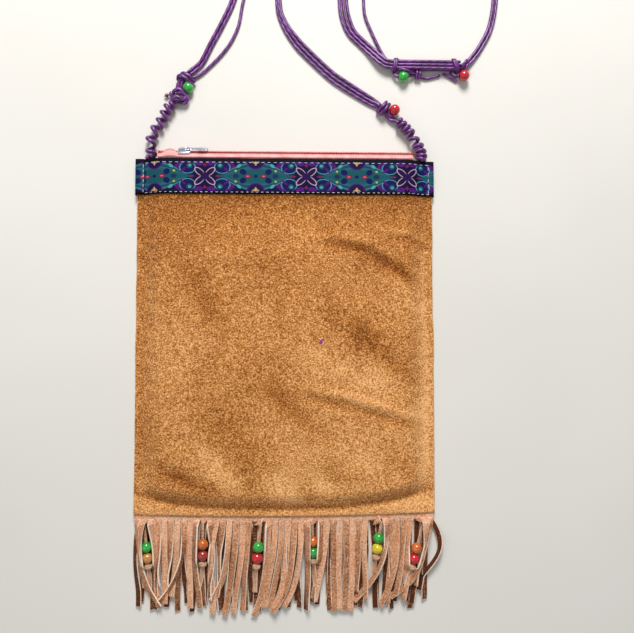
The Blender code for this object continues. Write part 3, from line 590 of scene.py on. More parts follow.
TRIPLE_ROUTE = (
    (70.7, 42.0, 0.8, 1.35, 2.25), (67.0, 44.7, 0.1, 2.05, 1.6), (61.3, 48.0, 0, 2.6, 0.3),
    (43.6, 59.1, 0, 3.0, 0), (31.9, 67.6, 0, 2.9, 0), (13.0, 85.6, 0, 2.9, 0),
    (5.5, 94.5, 0, 2.55, 0.6), (0.4, 102.0, 0, 2.0, 1.6), (-3.6, 110.5, 0, 1.6, 2.0),
    (-5.3, 118, 0, 1.4, 2.15), (-6.0, 134, 0, 1.4, 2.15), (-5.5, 157, 0, 2.0, 1.6),
    (-2.0, 180, 0, 2.6, 0.2), (8.0, 196, 0, 2.6, 0), (19.5, 201, 0, 2.6, 0),
    (31.0, 195, 0, 2.6, 0), (39.0, 179, 0, 2.6, 0), (42.0, 157, 0, 2.6, 0),
    (42.6, 135, 0, 2.6, 0), (43.3, 118, 0, 2.9, 0), (45.6, 107.5, 0, 3.0, 0),
    (49.6, 98.8, 0, 2.8, 0), (56.4, 91.7, 0.1, 2.6, 0), (62.0, 86.4, 0.6, 2.6, 0),
    (66.9, 81.2, 2.0, 2.6, 0), (70.9, 77.0, 3.3, 2.55, 0), (75.0, 74.2, 3.75, 2.5, 0),
    (79.2, 73.5, 3.75, 2.5, 0), (86.0, 73.5, 3.75, 2.5, 0), (105.0, 73.5, 3.75, 2.5, 0),
    (125.0, 73.5, 3.75, 2.5, 0), (131.0, 73.5, 3.75, 2.5, 0),
)
STRAND_STEP = 0.0016
KNOT_STEP = 0.0007
TWIST_PITCH = 0.006          # length over which the cord's strands go once round


def smooth_curve(points, steps=20):
    """Closely spaced points of a Catmull-Rom curve through tuples of numbers."""
    padded = [points[0], *points, points[-1]]
    result = []
    for p0, p1, p2, p3 in zip(padded, padded[1:], padded[2:], padded[3:]):
        for step in range(steps):
            t = step / steps
            result.append(tuple(
                0.5 * (2 * b + (c - a) * t + (2 * a - 5 * b + 4 * c - d) * t**2
                       + (3 * b - a - 3 * c + d) * t**3)
                for a, b, c, d in zip(p0, p1, p2, p3)))
    result.append(tuple(points[-1]))
    return result


def spaced(points, step):
    """Every point of a fine polyline that is about one step further on, with both ends."""
    total = path_length(points)
    count = max(2, round(total / step))
    kept = [points[0]]
    walked = 0
    for a, b in zip(points, points[1:]):
        walked += (b - a).length
        if walked >= total / count * len(kept) - 1e-9 and len(kept) < count:
            kept.append(b)
    return kept + [points[-1]]


def path_length(points):
    return sum((b - a).length for a, b in zip(points, points[1:]))


def tube(name, points, radius, finish, body="root", sides=2):
    """A round cord through points, with its UV in metres along it and turns around it."""
    curve = bpy.data.curves.new(name, "CURVE")
    curve.dimensions = "3D"
    curve.bevel_depth = 1
    curve.bevel_resolution = sides
    curve.use_fill_caps = True
    spline = curve.splines.new("POLY")
    spline.points.add(len(points) - 1)
    for index, (target, point) in enumerate(zip(spline.points, points)):
        target.co = (*point, 1)
        target.radius = radius * (0.75 if index in (0, len(points) - 1) else 1)
    guide = link(bpy.data.objects.new(name + "_guide", curve))
    depsgraph = bpy.context.evaluated_depsgraph_get()
    mesh = bpy.data.meshes.new_from_object(guide.evaluated_get(depsgraph))
    bpy.data.objects.remove(guide)
    turns = path_length(points) / TWIST_PITCH
    for corner in mesh.uv_layers[0].data:
        corner.uv = (corner.uv.x * turns, corner.uv.y)
    bm = bmesh.new()
    bm.from_mesh(mesh)
    bmesh.ops.remove_doubles(bm, verts=bm.verts, dist=1e-7)
    bmesh.ops.recalc_face_normals(bm, faces=bm.faces)
    for face in bm.faces:
        face.material_index = 0
    return piece(name, bm, [finish], body)


def strand_path(route, across):
    """One strand of a route: across is -1, 0 or 1 times the spread, to the left of the run."""
    laid = []
    for x, y, height, spread, lift in route:
        raised = height + (lift if across == 0 else 0)
        laid.append((x * MM, MOUTH_Y + y * MM, STRAND_Z + raised * MM, spread * MM))
    fine = smooth_curve(laid)
    points = []
    for index, (x, y, z, spread) in enumerate(fine):
        before = fine[max(index - 1, 0)]
        after = fine[min(index + 1, len(fine) - 1)]
        run = Vector((after[0] - before[0], after[1] - before[1], 0)).normalized()
        points.append(Vector((x - run.y * spread * across, y + run.x * spread * across, z)))
    return spaced(points, STRAND_STEP)


def add_strand(name, route, across, on_it=()):
    points = strand_path(route, across)
    strand = tube(name + "_cord", points, CORD / 2, WAXED_CORD, sides=3)
    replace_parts(strand, name)


def helix(route, radius, pitch, phase, wobble, height):
    """Points of a cord wound round a path near the floor, with slightly uneven turns."""
    fine = [Vector(point) for point in smooth_curve([(x * MM, MOUTH_Y + y * MM, height) for x, y in route])]
    total = path_length(fine)
    steps = round(total / pitch * 18)
    line = spaced(fine, total / steps)
    points = []
    for index, middle in enumerate(line):
        before = line[max(index - 1, 0)]
        after = line[min(index + 1, len(line) - 1)]
        run = (after - before).normalized()
        side = run.cross(Vector((0, 0, 1))).normalized()
        walked = total * index / (len(line) - 1)
        turn = phase + 2 * math.pi * (walked + wobble * math.sin(walked * 190)) / pitch
        points.append(middle + (side * math.cos(turn) + Vector((0, 0, 1)) * math.sin(turn)) * radius)
    return points


def add_spiral(name, route, pitch, phase, wobble):
    radius = SPIRAL_RADIUS - SPIRAL_CORD / 2
    points = helix(route, radius, pitch, phase, wobble, REST_GAP + SPIRAL_RADIUS)
    spiral = tube(name + "_cord", points, SPIRAL_CORD / 2, WAXED_CORD, sides=3)
    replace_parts(spiral, name)
    round(path_length(points), 3)


def at(x, y, z):
    """A point given in millimetres beyond the mouth edge."""
    return Vector((x * MM, MOUTH_Y + y * MM, z * MM))


def curve_through(*points):
    """Smooth path through points given in millimetres beyond the mouth edge."""
    return spaced([Vector(p) for p in smooth_curve([tuple(at(*point)) for point in points])], KNOT_STEP)


def tie(node, paths):
    """The cords of a knot, which together stand for its node."""
    cords = [tube(f"{node}_{i}", path, KNOT_CORD / 2, WAXED_CORD) for i, path in enumerate(paths, 1)]
    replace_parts(cords[0], node)
    return cords


def add_left_knot():
    """The knot over the left spiral: crossed loops, two parallel runs and a wrap round the strands."""
    parts = [
        # the spiral's end climbs into the first loop
        curve_through((-84.6, 41.8, 5.2), (-83.4, 44.8, 6.0), (-81.0, 46.6, 6.6), (-78.2, 45.8, 6.4),
                      (-75.4, 45.2, 5.2), (-74.2, 47.4, 4.0), (-75.8, 49.8, 3.4), (-79.0, 50.4, 2.6)),
        curve_through((-83.6, 40.6, 2.6), (-82.8, 43.6, 2.4), (-80.0, 44.4, 2.6), (-77.0, 43.4, 3.0),
                      (-74.6, 43.2, 3.4), (-72.8, 45.4, 3.8), (-73.8, 48.2, 4.6), (-77.2, 49.6, 5.6),
                      (-80.4, 50.2, 5.0)),
        curve_through((-82.0, 47.2, 3.4), (-83.2, 49.4, 4.4), (-82.0, 51.4, 5.8), (-79.0, 52.2, 6.6),
                      (-76.2, 50.6, 6.2), (-74.8, 48.4, 4.8)),
        curve_through((-81.6, 51.6, 3.2), (-80.4, 54.6, 3.4), (-79.4, 58.0, 3.6), (-77.6, 60.6, 3.8),
                      (-74.6, 62.6, 3.2)),
        curve_through((-79.0, 51.8, 3.0), (-77.9, 55.0, 3.2), (-77.0, 58.0, 3.4), (-74.8, 60.4, 3.4),
                      (-72.2, 62.6, 2.8)),
        curve_through((-80.2, 60.4, 2.0), (-79.4, 62.8, 4.4), (-77.0, 62.6, 6.2), (-74.2, 60.8, 6.4),
                      (-71.2, 58.6, 5.4), (-69.6, 57.6, 3.2), (-70.6, 58.6, 1.4)),
        curve_through((-78.4, 63.8, 1.8), (-76.8, 65.0, 4.0), (-74.4, 64.4, 5.6), (-71.4, 62.4, 5.8),
                      (-68.6, 60.0, 4.4), (-68.0, 59.6, 2.0)),
    ]
    return tie("strap_knot_left", parts)


def add_right_knot():
    """The knot beyond the right spiral: a run past the bead, and wraps round the three strands."""
    parts = [
        curve_through((84.6, 29.2, 4.6), (82.2, 30.8, 3.6), (79.6, 31.6, 2.6), (77.2, 33.2, 2.2),
                      (75.6, 35.6, 2.4), (74.4, 38.4, 3.0), (72.2, 40.8, 3.2)),
        curve_through((83.6, 31.4, 2.4), (80.4, 33.4, 2.6), (77.6, 35.6, 3.4), (76.2, 38.4, 3.8),
                      (74.0, 41.0, 3.2), (71.6, 42.6, 2.4)),
        curve_through((70.4, 36.4, 1.4), (71.2, 36.0, 4.2), (73.0, 37.6, 6.6), (75.4, 40.4, 6.8),
                      (77.2, 43.0, 4.8), (77.4, 43.8, 1.8)),
        curve_through((68.6, 38.2, 1.4), (69.2, 38.2, 4.0), (71.2, 40.0, 6.4), (73.6, 42.8, 6.2),
                      (75.0, 45.0, 4.0), (75.0, 45.4, 1.6)),
    ]
    return tie("strap_knot_right", parts)


def sleeve_wraps(name, body, turns, lean):
    """Cord wrapped round both layers of strands, in the space of an adjuster's sleeve."""
    low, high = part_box(name)
    centre = (low + high) / 2
    sizes = ((high.y - low.y) / 2 - CORD * 0.3, (high.z - low.z) / 2 - CORD * 0.28)
    points = []
    steps = 28
    reach = (high.x - low.x) / 2 - CORD / 2
    for i in range(turns * steps + 1):
        angle = 2 * math.pi * i / steps
        share = i / (turns * steps) * 2 - 1
        y = math.copysign(abs(math.cos(angle)) ** 0.72, math.cos(angle)) * sizes[0]
        z = math.copysign(abs(math.sin(angle)) ** 0.72, math.sin(angle)) * sizes[1]
        points.append(centre + Vector((share * reach + lean * y, y, z)))
    wrap = tube(name + "_wraps", points, WRAP_RADIUS, WAXED_CORD, body, sides=3)
    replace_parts(wrap, name)
    return wrap


def add_adjuster_cords():
    """Wraps, tails and stop knots of the two sliding adjusters."""
    tails = {
        "adjuster_left": [
            curve_through((80.6, 69.0, 2.2), (81.4, 66.4, 3.4), (83.2, 65.0, 4.0), (85.0, 64.6, 4.1)),
            curve_through((91.0, 64.8, 4.1), (94.4, 66.0, 3.4), (97.2, 67.2, 2.6), (100.4, 66.0, 1.6),
                          (105.0, 64.4, 1.25), (111.0, 65.6, 1.25), (116.0, 67.0, 1.25)),
            curve_through((84.4, 68.8, 5.0), (86.6, 69.2, 6.6), (89.6, 68.6, 6.8), (93.0, 67.6, 5.6),
                          (96.0, 66.8, 4.0)),
            curve_through((97.2, 69.6, 1.6), (98.0, 69.0, 4.0), (98.4, 66.8, 5.0), (98.0, 64.6, 3.8),
                          (97.6, 64.0, 1.6)),
            curve_through((99.2, 69.2, 1.6), (100.2, 68.4, 3.9), (100.6, 66.4, 4.6), (100.0, 64.4, 3.4),
                          (99.6, 64.2, 1.5)),
        ],
        "adjuster_right": [
            curve_through((123.4, 69.4, 1.6), (125.6, 67.8, 2.2), (127.8, 66.0, 3.0), (130.2, 65.6, 4.6)),
            curve_through((118.2, 68.4, 1.4), (122.0, 66.6, 1.3), (126.2, 64.2, 1.3), (128.8, 62.6, 1.3)),
            curve_through((131.4, 68.8, 2.0), (132.0, 71.0, 5.0), (133.6, 74.2, 7.0), (135.2, 76.6, 6.4),
                          (136.6, 77.6, 3.6)),
            curve_through((133.0, 68.0, 2.0), (134.2, 70.2, 5.0), (136.0, 73.0, 6.2), (137.6, 75.0, 4.6)),
        ],
    }
    made = {}
    for body, paths in tails.items():
        made[body] = [tube(f"{body}_tail_{i}", path, WRAP_RADIUS, WAXED_CORD, body)
                      for i, path in enumerate(paths, 1)]
    made["adjuster_left"].append(sleeve_wraps("adjuster_knot_left", "adjuster_left", 2, 0.25))
    made["adjuster_right"].append(sleeve_wraps("adjuster_knot_right", "adjuster_right", 2, -0.3))
    return made


# ---------------------------------------------------------------- beads

def put(bm, verts, along, middle):
    """Turn verts so that their Z lies along a direction, and move them to a point."""
    turn = Vector(along).to_track_quat("Z", "Y").to_matrix()
    bmesh.ops.rotate(bm, cent=(0, 0, 0), matrix=turn, verts=verts)
    bmesh.ops.translate(bm, vec=middle, verts=verts)


def bead_bmesh(radius, hole, steps=20, turns=28):
    """A round bead about Z with a drilled hole, its rim rounded over."""
    top = math.acos(hole / radius) * 0.97
    bm = bmesh.new()
    profile = [(hole * 0.92, 0, -radius * math.sin(top) * 0.93)]
    for i in range(steps + 1):
        angle = -top + 2 * top * i / steps
        profile.append((radius * math.cos(angle), 0, radius * math.sin(angle)))
    profile.append((hole * 0.92, 0, radius * math.sin(top) * 0.93))
    verts = [bm.verts.new(point) for point in profile]
    edges = [bm.edges.new((verts[i], verts[(i + 1) % len(verts)])) for i in range(len(verts))]
    bmesh.ops.spin(bm, geom=verts + edges, cent=(0, 0, 0), axis=(0, 0, 1), angle=2 * math.pi,
                   steps=turns, use_merge=True)
    bmesh.ops.remove_doubles(bm, verts=bm.verts, dist=1e-7)
    bmesh.ops.recalc_face_normals(bm, faces=bm.faces)
    return bm


def add_bead(node, body, slot, along):
    """A bead in a CAD bead's place, with its hole along a direction."""
    low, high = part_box(node)
    bm = bead_bmesh(BEAD_RADIUS, BEAD_HOLE)
    put(bm, bm.verts, along, (low + high) / 2)
    bead = piece(node + "_round", bm, [BEAD_FINISHES[slot]], body)
    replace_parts(bead, node)
    return bead


def add_tip_beads():
    """A glass bead and a small seed bead on the knot's loose thread."""
    made = []
    for name, place, radius, finish in (("glass", at(-84.9, 50.2, 2.3), 0.0020, BEAD_FINISHES["bead_tip"]),
                                        ("seed", at(-88.4, 49.2, 1.9), 0.0015, SEED_GLASS)):
        bm = bead_bmesh(radius, 0.0005, 12, 20)
        put(bm, bm.verts, (1, 0.3, 0), place)
        made.append(piece(f"strap_tip_bead_{name}", bm, [finish], "root"))
    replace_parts(made[0], "strap_tip_bead_left")
    thread = curve_through((-80.5, 50.0, 3.2), (-82.8, 50.6, 2.6), (-84.9, 50.2, 2.3), (-88.4, 49.2, 1.9),
                           (-90.6, 48.6, 1.6))
    made.append(tube("strap_tip_thread", thread, 0.0004, SEED_GLASS, sides=1))
    return made


def add_strap_and_cords():
    left = add_left_knot()
    right = add_right_knot()
    left.append(add_bead("strap_bead_left", "root", "bead_green", (0.6, 0.8, 0)))
    left += add_tip_beads()
    right.append(add_bead("strap_bead_right", "root", "bead_red", (-0.8, 0.6, 0)))
    adjusters = add_adjuster_cords()
    adjusters["adjuster_left"].append(
        add_bead("adjuster_bead_left", "adjuster_left", "bead_green", (1, 0.2, 0)))
    adjusters["adjuster_right"].append(
        add_bead("adjuster_bead_right", "adjuster_right", "bead_red", (1, 0.3, 0)))
    add_spiral("strap_spiral_left", SPIRAL_LEFT, 0.0066, 2.4, 0.0014)
    add_spiral("strap_spiral_right", SPIRAL_RIGHT, 0.0043, 0.6, 0.0007)
    add_strand("strand_pair_1", PAIR_ROUTE, 1, left + adjusters["adjuster_left"])
    add_strand("strand_pair_2", PAIR_ROUTE, -1)
    add_strand("strand_single", SINGLE_ROUTE, 0)
    add_strand("strand_triple_1", TRIPLE_ROUTE, 1, right + adjusters["adjuster_right"])
    add_strand("strand_triple_2", TRIPLE_ROUTE, 0)
    add_strand("strand_triple_3", TRIPLE_ROUTE, -1)


# Brushed nap on the front panel, with painted shade where its dark entries follow the valleys of FOLDS:
# from and to (x, y above the bottom seam), half width, all in millimetres, and how much lighter it is.
NAP_AND_FOLD_SHADE = (
    ((-66, 170), (-52, 145), 11, -0.1), ((-8, 88), (20, 62), 10, -0.1), ((30, 201), (88, 176), 7, -0.12),
    ((54, 130), (92, 98), 9, -0.1), ((30, 150), (62, 128), 9, -0.1), ((20, 112), (70, 96), 14, 0.2),
    ((-92, 130), (-80, 112), 16, 0.08), ((-30, 146), (-14, 132), 14, 0.08), ((86, 168), (96, 150), 8, 0.12),
    ((102, 30), (102, 190), 5, 0.2), ((-58, 44), (-38, 24), 8, 0.2), ((-6, 24), (4, 14), 10, 0.2),
    ((24, 25), (34, 18), 7, 0.16), ((-86, 31), (-56, 17), 5, -0.12), ((-40, 60), (-24, 40), 16, -0.14),
    ((12, 18), (18, 14), 5, -0.14), ((34, 32), (40, 26), 7, -0.12), ((74, 40), (90, 32), 10, -0.1),
    ((52, 42), (66, 36), 9, 0.14), ((-104, 30), (-104, 190), 4, -0.05), ((-70, 60), (-84, 90), 14, 0.06),
)
SEAM_BOW = 0.0022            # how far the bottom seam hangs in the middle
CORNER_DRAW = 0.0012
VALLEY_START = 0.0032        # from the seam to the bulge, at the middle
VALLEY_CORNER = 0.0130       # added to that at the corners
GROOVE = 0.65 * MM
GROOVE_RUN = 0.0022
SWELL_WAVE = 0.7 * MM
FINE_WAVE = 0.22 * MM
PUCKER = 0.22 * MM
PUCKER_TURN = 640            # radians per metre along the sides
HEADER_OVERLAP = 0.010
RIBBON_SHADE_RUN = 0.03           # length below the ribbon over which painted shade darkens the panel
# Folds in the front panel: points in millimetres (x, y above the bottom seam), then height and
# half width in millimetres. A fold with a height below 0 is a valley.
FOLDS = (
    (((16, 203), (48, 200), (70, 191), (92, 176)), 1.1, 3.4),
    (((34, 199), (62, 192), (84, 178), (94, 164)), -1.9, 3.8),
    (((70, 208), (90, 204), (107, 198)), 0.9, 2.6),
    (((78, 203), (96, 199), (107, 194)), -0.9, 2.6),
    (((14, 92), (42, 86), (72, 77), (102, 70)), 1.1, 3.4),
    (((10, 86), (40, 80), (70, 70), (98, 63)), -1.2, 3.4),
    (((-88, 34), (-72, 26), (-50, 16)), -1.3, 4.6),
    (((52, 128), (74, 114), (96, 96)), -0.6, 6.5),
    (((-12, 92), (4, 76), (22, 62)), -0.8, 6.5),
    (((-64, 168), (-56, 150), (-44, 132)), -0.5, 7.0),
)


def distance_to_run(x, y, line):
    """Distance from a point to a line of points in millimetres, and the share walked along it."""
    nearest = None
    runs = list(zip(line, line[1:]))
    for number, ((x0, y0), (x1, y1)) in enumerate(runs):
        start = Vector((x0 * MM, SEAM_Y + y0 * MM))
        along = Vector((x1 * MM, SEAM_Y + y1 * MM)) - start
        share = (Vector((x, y)) - start).dot(along) / along.length_squared
        share = min(max(share, 0), 1)
        away = (Vector((x, y)) - start - along * share).length
        if nearest is None or away < nearest[0]:
            nearest = (away, (number + share) / len(runs))
    return nearest


def fold_height(x, y):
    """Height that the folds add at a point of the front panel."""
    total = 0
    for line, height, width in FOLDS:
        away, walked = distance_to_run(x, y, line)
        if away < width * 3 * MM:
            taper = math.sin(math.pi * min(max(walked * 0.84 + 0.08, 0), 1)) ** 0.7
            total += height * MM * math.exp(-(away / (width * MM)) ** 2) * taper
    return total


def ribbon_step(y):
    """Height that the back run of ribbon adds under the panels at y."""
    return (RIBBON + GAP) * smoothstep((y - (RIBBON_LOW - GAP - STEP_RUN)) / STEP_RUN)


def nap_and_fold_shade_tone(x, y):
    """How much lighter the brushed nap and the painted shade of the folds make a point of the front panel.
    """
    return sum(tone * math.exp(-(distance_to_run(x, y, (start, end))[0] / (width * MM)) ** 2)
               for start, end, width, tone in NAP_AND_FOLD_SHADE)


def seam_bow(x):
    """How far the bottom seam hangs below a straight line, between corners drawn up a little."""
    return SEAM_BOW * (1 - (x / SIDE) ** 2) - CORNER_DRAW


def valley_rise(x):
    """Distance above the seam where the bulge of the panel starts, greatest in the corners."""
    share = abs(x + 0.004) / SIDE
    return VALLEY_START + VALLEY_CORNER * share ** 3


def panel_height(x, y):
    """Height of the front panel's outer face, with its crown, folds and undulations."""
    side = smoothstep((SIDE - abs(x) - MARGIN) / CROWN_RUN)
    valley = SEAM_Y + valley_rise(x)
    bottom = smoothstep((y - valley) / (CROWN_RUN * 0.75)) ** 0.8
    towards_mouth = smoothstep((y - (RIBBON_LOW - 3 * CROWN_RUN)) / (2.5 * CROWN_RUN))
    height = CROWN_HEIGHT + (MOUTH_CROWN - CROWN_HEIGHT) * towards_mouth
    over_fringe = (SUEDE + GAP * 0.5) * (1 - smoothstep((y - SEAM_Y - TUCK) / HEADER_OVERLAP))
    swell = side * bottom
    free = 1 - smoothstep((y - RIBBON_LOW + 0.004) / 0.004)
    wave = fractal(x, y, 3.0, 26) * SWELL_WAVE + fractal(x, y, 8.0, 75) * FINE_WAVE
    pucker = PUCKER * math.sin(y * PUCKER_TURN) * (1 - side) * side * 4
    groove = GROOVE * math.exp(-((y - valley - 0.0008) / GROOVE_RUN) ** 2) * side
    return (ribbon_step(y) + FRINGE_TOP + over_fringe + swell * height - groove
            + swell * free * (wave + fold_height(x, y)) + pucker * free)


def edge_wander(x, y):
    """Slight waviness of the panel's side edges, fading towards its middle."""
    share = smoothstep((abs(x) - SIDE * 0.7) / (SIDE * 0.3))
    return math.copysign(fractal(0.0, y, 5.0 + math.copysign(1, x), 22) * 0.7 * MM * share, x)


def add_front_panel():
    bm = bmesh.new()
    shade = bm.verts.layers.float.new("shade")
    columns, rows = 144, 172
    bmesh.ops.create_grid(bm, x_segments=columns, y_segments=rows, size=0.5)
    for vert in bm.verts:
        x = vert.co.x * 2 * SIDE
        share = vert.co.y + 0.5
        y = SEAM_Y + share * (MOUTH_Y - SEAM_Y) - seam_bow(x) * (1 - share) ** 3
        z = panel_height(x, y)
        # valley: painted shade along the groove above the bottom seam
        valley = math.exp(-((y - SEAM_Y - valley_rise(x) - 0.0018) / 0.0026) ** 2)
        hem = 1 - smoothstep((y - SEAM_Y - valley_rise(x) + 0.001) / 0.002)
        # Painted light and shade: lighter towards the bottom and the right, and painted shade just below
        # the ribbon
        shade_below_ribbon = smoothstep((y - RIBBON_LOW + RIBBON_SHADE_RUN) / RIBBON_SHADE_RUN)
        lit = 0.1 * (1 - 2 * share) - 0.02 + 0.02 * x / SIDE - 0.08 * shade_below_ribbon
        # Fold ridges are painted lighter and fold valleys darker, as painted light and shade
        vert[shade] = (nap_and_fold_shade_tone(x, y) + lit - 0.17 * valley + 0.1 * hem
                       + min(fold_height(x, y) * 160, 0.1))
        vert.co = (x + edge_wander(x, y), y, z)
    panel = piece("front_panel_suede", bm, [FRONT_SUEDE, PANEL_EDGE], "root")
    thicken(panel, SUEDE, -1, bevel=0.0004)
    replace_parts(panel, "front_panel")
    return panel


def add_back_panel():
    bm = bmesh.new()
    bmesh.ops.create_grid(bm, x_segments=76, y_segments=90, size=0.5)
    for vert in bm.verts:
        x = vert.co.x * 2 * SIDE
        y = SEAM_Y + (vert.co.y + 0.5) * (MOUTH_Y - SEAM_Y)
        inside = smoothstep((SIDE - abs(x)) / 0.02) * smoothstep((y - SEAM_Y) / 0.02)
        flat = 0.12 * MM * (1 + fractal(x, y, 12.0, 30)) * inside
        proud = 0.9 * MM if x > 0 else 0.2 * MM
        grown = proud * smoothstep((abs(x) - SIDE + 0.01) / 0.01) * (1 - smoothstep((y - 0.02) / 0.08))
        vert.co = (x + edge_wander(x, y) * 0.8 + math.copysign(grown, x), y, ribbon_step(y) + SUEDE + flat)
    panel = piece("back_panel_suede", bm, [BACK_SUEDE, PALE_EDGE], "root")
    thicken(panel, SUEDE, -1, bevel=0.0003)
    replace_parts(panel, "back_panel")
    return panel


# ---------------------------------------------------------------- ribbon

def ribbon_line():
    """The band's run around the mouth as (x, arc length, layer): front, right turn, back and lap."""
    rows = []
    front = [-SIDE + 0.0008 + (2 * SIDE - 0.0008) * i / 150 for i in range(151)]
    rows += [(x, "front", 0) for x in front]
    rows += [(SIDE + TURN_OUT * math.sin(math.pi * i / 8), "turn", i / 8) for i in range(1, 8)]
    rows += [(SIDE - 2 * SIDE * i / 70, "back", 0) for i in range(71)]
    rows += [(-SIDE - TURN_OUT * math.sin(math.pi * i / 8), "lap_turn", i / 8) for i in range(1, 8)]
    rows += [(-SIDE + LAP * i / 6, "lap", 0) for i in range(7)]
    return rows


def ribbon_z(kind, share, x, y):
    """Height of the band's middle surface for one kind of run: front, turn, back, lap_turn or lap."""
    inside = min(max(x, -SIDE), SIDE)
    front = panel_height(inside, max(y, RIBBON_LOW + 0.004)) + GAP * 0.7 + RIBBON / 2
    back = RIBBON / 2 + BACK_LIFT
    if kind == "front":
        return front
    if kind == "turn":
        return blend_between(front, back, (1 - math.cos(math.pi * share)) / 2)
    if kind == "back":
        return back
    lap = front + RIBBON + LAP_LIFT
    if kind == "lap_turn":
        return blend_between(back, lap, (1 - math.cos(math.pi * share)) / 2)
    return lap


def add_ribbon():
    rows = ribbon_line()
    bm = bmesh.new()
    uv = bm.loops.layers.uv.new("UVMap")
    high = MOUTH_Y + BAND_PROUD
    low = RIBBON_LOW
    across = 14
    first = []
    place = {}
    for x, kind, share in rows:
        vert = bm.verts.new((x, low, ribbon_z(kind, share, x, low)))
        first.append(vert)
    edges = [bm.edges.new(pair) for pair in zip(first, first[1:])]
    arc = [0.0]
    for a, b in zip(first, first[1:]):
        arc.append(arc[-1] + (b.co - a.co).length)
    strips = [first]
    for step in range(across):
        grown = bmesh.ops.extrude_edge_only(bm, edges=edges)
        edges = [part for part in grown["geom"] if isinstance(part, bmesh.types.BMEdge)]
        verts = [part for part in grown["geom"] if isinstance(part, bmesh.types.BMVert)]
        order = {}
        for vert in verts:
            order[min(range(len(rows)), key=lambda i: (strips[-1][i].co - vert.co).length)] = vert
        strip = [order[i] for i in range(len(rows))]
        share_up = (step + 1) / across
        y = low + (high - low) * share_up
        for vert, (x, kind, share) in zip(strip, rows):
            vert.co = (x, y, ribbon_z(kind, share, x, y))
        strips.append(strip)
        edges = [bm.edges.get(pair) for pair in zip(strip, strip[1:])]
    for step, strip in enumerate(strips):
        share_up = step / across
        for vert, along, (x, kind, share) in zip(strip, arc, rows):
            place[vert] = (along - SIDE + 0.0008, (high - low) * share_up)
            wave = 0.16 * MM * math.sin(along * 2 * math.pi / STITCH_PITCH)
            hem = abs(share_up * 2 - 1) ** 3
            vert.co.y += fractal(along, 0.0, 2.0, 30) * 0.22 * MM * hem
            vert.co.z += wave * hem * (kind in ("front", "lap"))
    for face in bm.faces:
        for loop in face.loops:
            loop[uv].uv = place[loop.vert]
    bmesh.ops.recalc_face_normals(bm, faces=bm.faces)
    band = piece("ribbon_band", bm, [RIBBON_WEAVE], "root")
    thicken(band, RIBBON, 0, rim_finish=0)
    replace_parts(band, "ribbon_front", "ribbon_back")
    return band


# ---------------------------------------------------------------- stitches

def add_stitches(name, stitches, finish, body="root", radius=THREAD, sunk=0.25):
    """Short thread stitches, each from a start to an end point, in one piece."""
    bm = bmesh.new()
    for start, end in stitches:
        run = end - start
        made = bmesh.ops.create_uvsphere(bm, u_segments=8, v_segments=6, radius=1)["verts"]
        bmesh.ops.scale(bm, vec=(radius * 1.35, radius, run.length / 2), verts=made)
        put(bm, made, run, (start + end) / 2 - Vector((0, 0, radius * sunk)))
    return piece(name, bm, [finish], body)


def stitch_line(path, height, pitch, share=0.62, jitter=0.00012, seed=1):
    """Stitches along a flat path of (x, y), lying on a height function."""
    random.seed(seed)
    points = [Vector((x, y, 0)) for x, y in path]
    stitches = []
    for a, b in zip(points, points[1:]):
        run = b - a
        count = max(1, int(run.length / pitch))
        for i in range(count):
            start = a + run * (i / count)
            end = start + run / count * share
            shift = Vector((random.uniform(-jitter, jitter), random.uniform(-jitter, jitter), 0))
            ends = []
            for spot in (start + shift, end - shift):
                ends.append(Vector((spot.x, spot.y, height(spot.x, spot.y))))
            stitches.append(tuple(ends))
    return stitches


def add_all_stitches():
    def on_ribbon(x, y):
        return ribbon_z("front", 0, x, y) + RIBBON / 2

    def on_lap(x, y):
        return ribbon_z("lap", 0, x, y) + RIBBON / 2

    top = MOUTH_Y - TOP_STITCH_IN
    bottom = RIBBON_LOW + STITCH_IN
    left = -SIDE + LAP + 0.0002
    add_stitches("ribbon_top_stitches", stitch_line([(left, top), (SIDE - 0.001, top)], on_ribbon,
                                                    STITCH_PITCH, seed=3), PALE_THREAD)
    add_stitches("ribbon_bottom_stitches",
                 stitch_line([(left, bottom), (SIDE - 0.001, bottom)], on_ribbon, 0.0037, seed=4),
                 PALE_THREAD)
    lap = [(-SIDE + 0.0048, bottom), (-SIDE + 0.0048, top)]
    add_stitches("ribbon_lap_stitches", stitch_line(lap, on_lap, 0.0034, 0.8, seed=5), PALE_THREAD)
    right = [(SIDE - 0.0030, bottom), (SIDE - 0.0030, top)]
    add_stitches("ribbon_side_stitches", stitch_line(right, on_ribbon, 0.0040, 0.7, seed=6), PALE_THREAD)
    side_top = RIBBON_LOW - 0.001
    hem = PANEL_STITCH_IN
    path = [(-SIDE + hem, side_top), (-SIDE + hem, SEAM_Y + hem), (SIDE - hem, SEAM_Y + hem),
            (SIDE - hem, side_top)]
    add_stitches("panel_stitches", stitch_line(path, panel_height, 0.0036, 0.6, seed=7), TAN_THREAD,
                 sunk=0.7)
    back_low = [(-SIDE + 0.002, bottom), (SIDE - 0.002, bottom)]
    back_top = [(-SIDE + 0.002, top), (SIDE - 0.002, top)]
    for name, line in (("ribbon_back_bottom_stitches", back_low), ("ribbon_back_top_stitches", back_top)):
        add_stitches(name, stitch_line(line, lambda x, y: 0.00015, STITCH_PITCH, seed=8), PALE_THREAD,
                     radius=0.00015, sunk=0)
    tack = []
    for i in range(TACK_STITCHES):
        x = TACK_SPOT[0] + (i - (TACK_STITCHES - 1) / 2) * 0.00028
        z = panel_height(x, TACK_SPOT[1]) + 0.00012
        tack.append((Vector((x - TACK_LEAN, TACK_SPOT[1] - TACK_HALF, z)),
                     Vector((x + TACK_LEAN, TACK_SPOT[1] + TACK_HALF, z))))
    add_stitches("panel_bar_tack", tack, PURPLE_THREAD)


# ---------------------------------------------------------------- zip

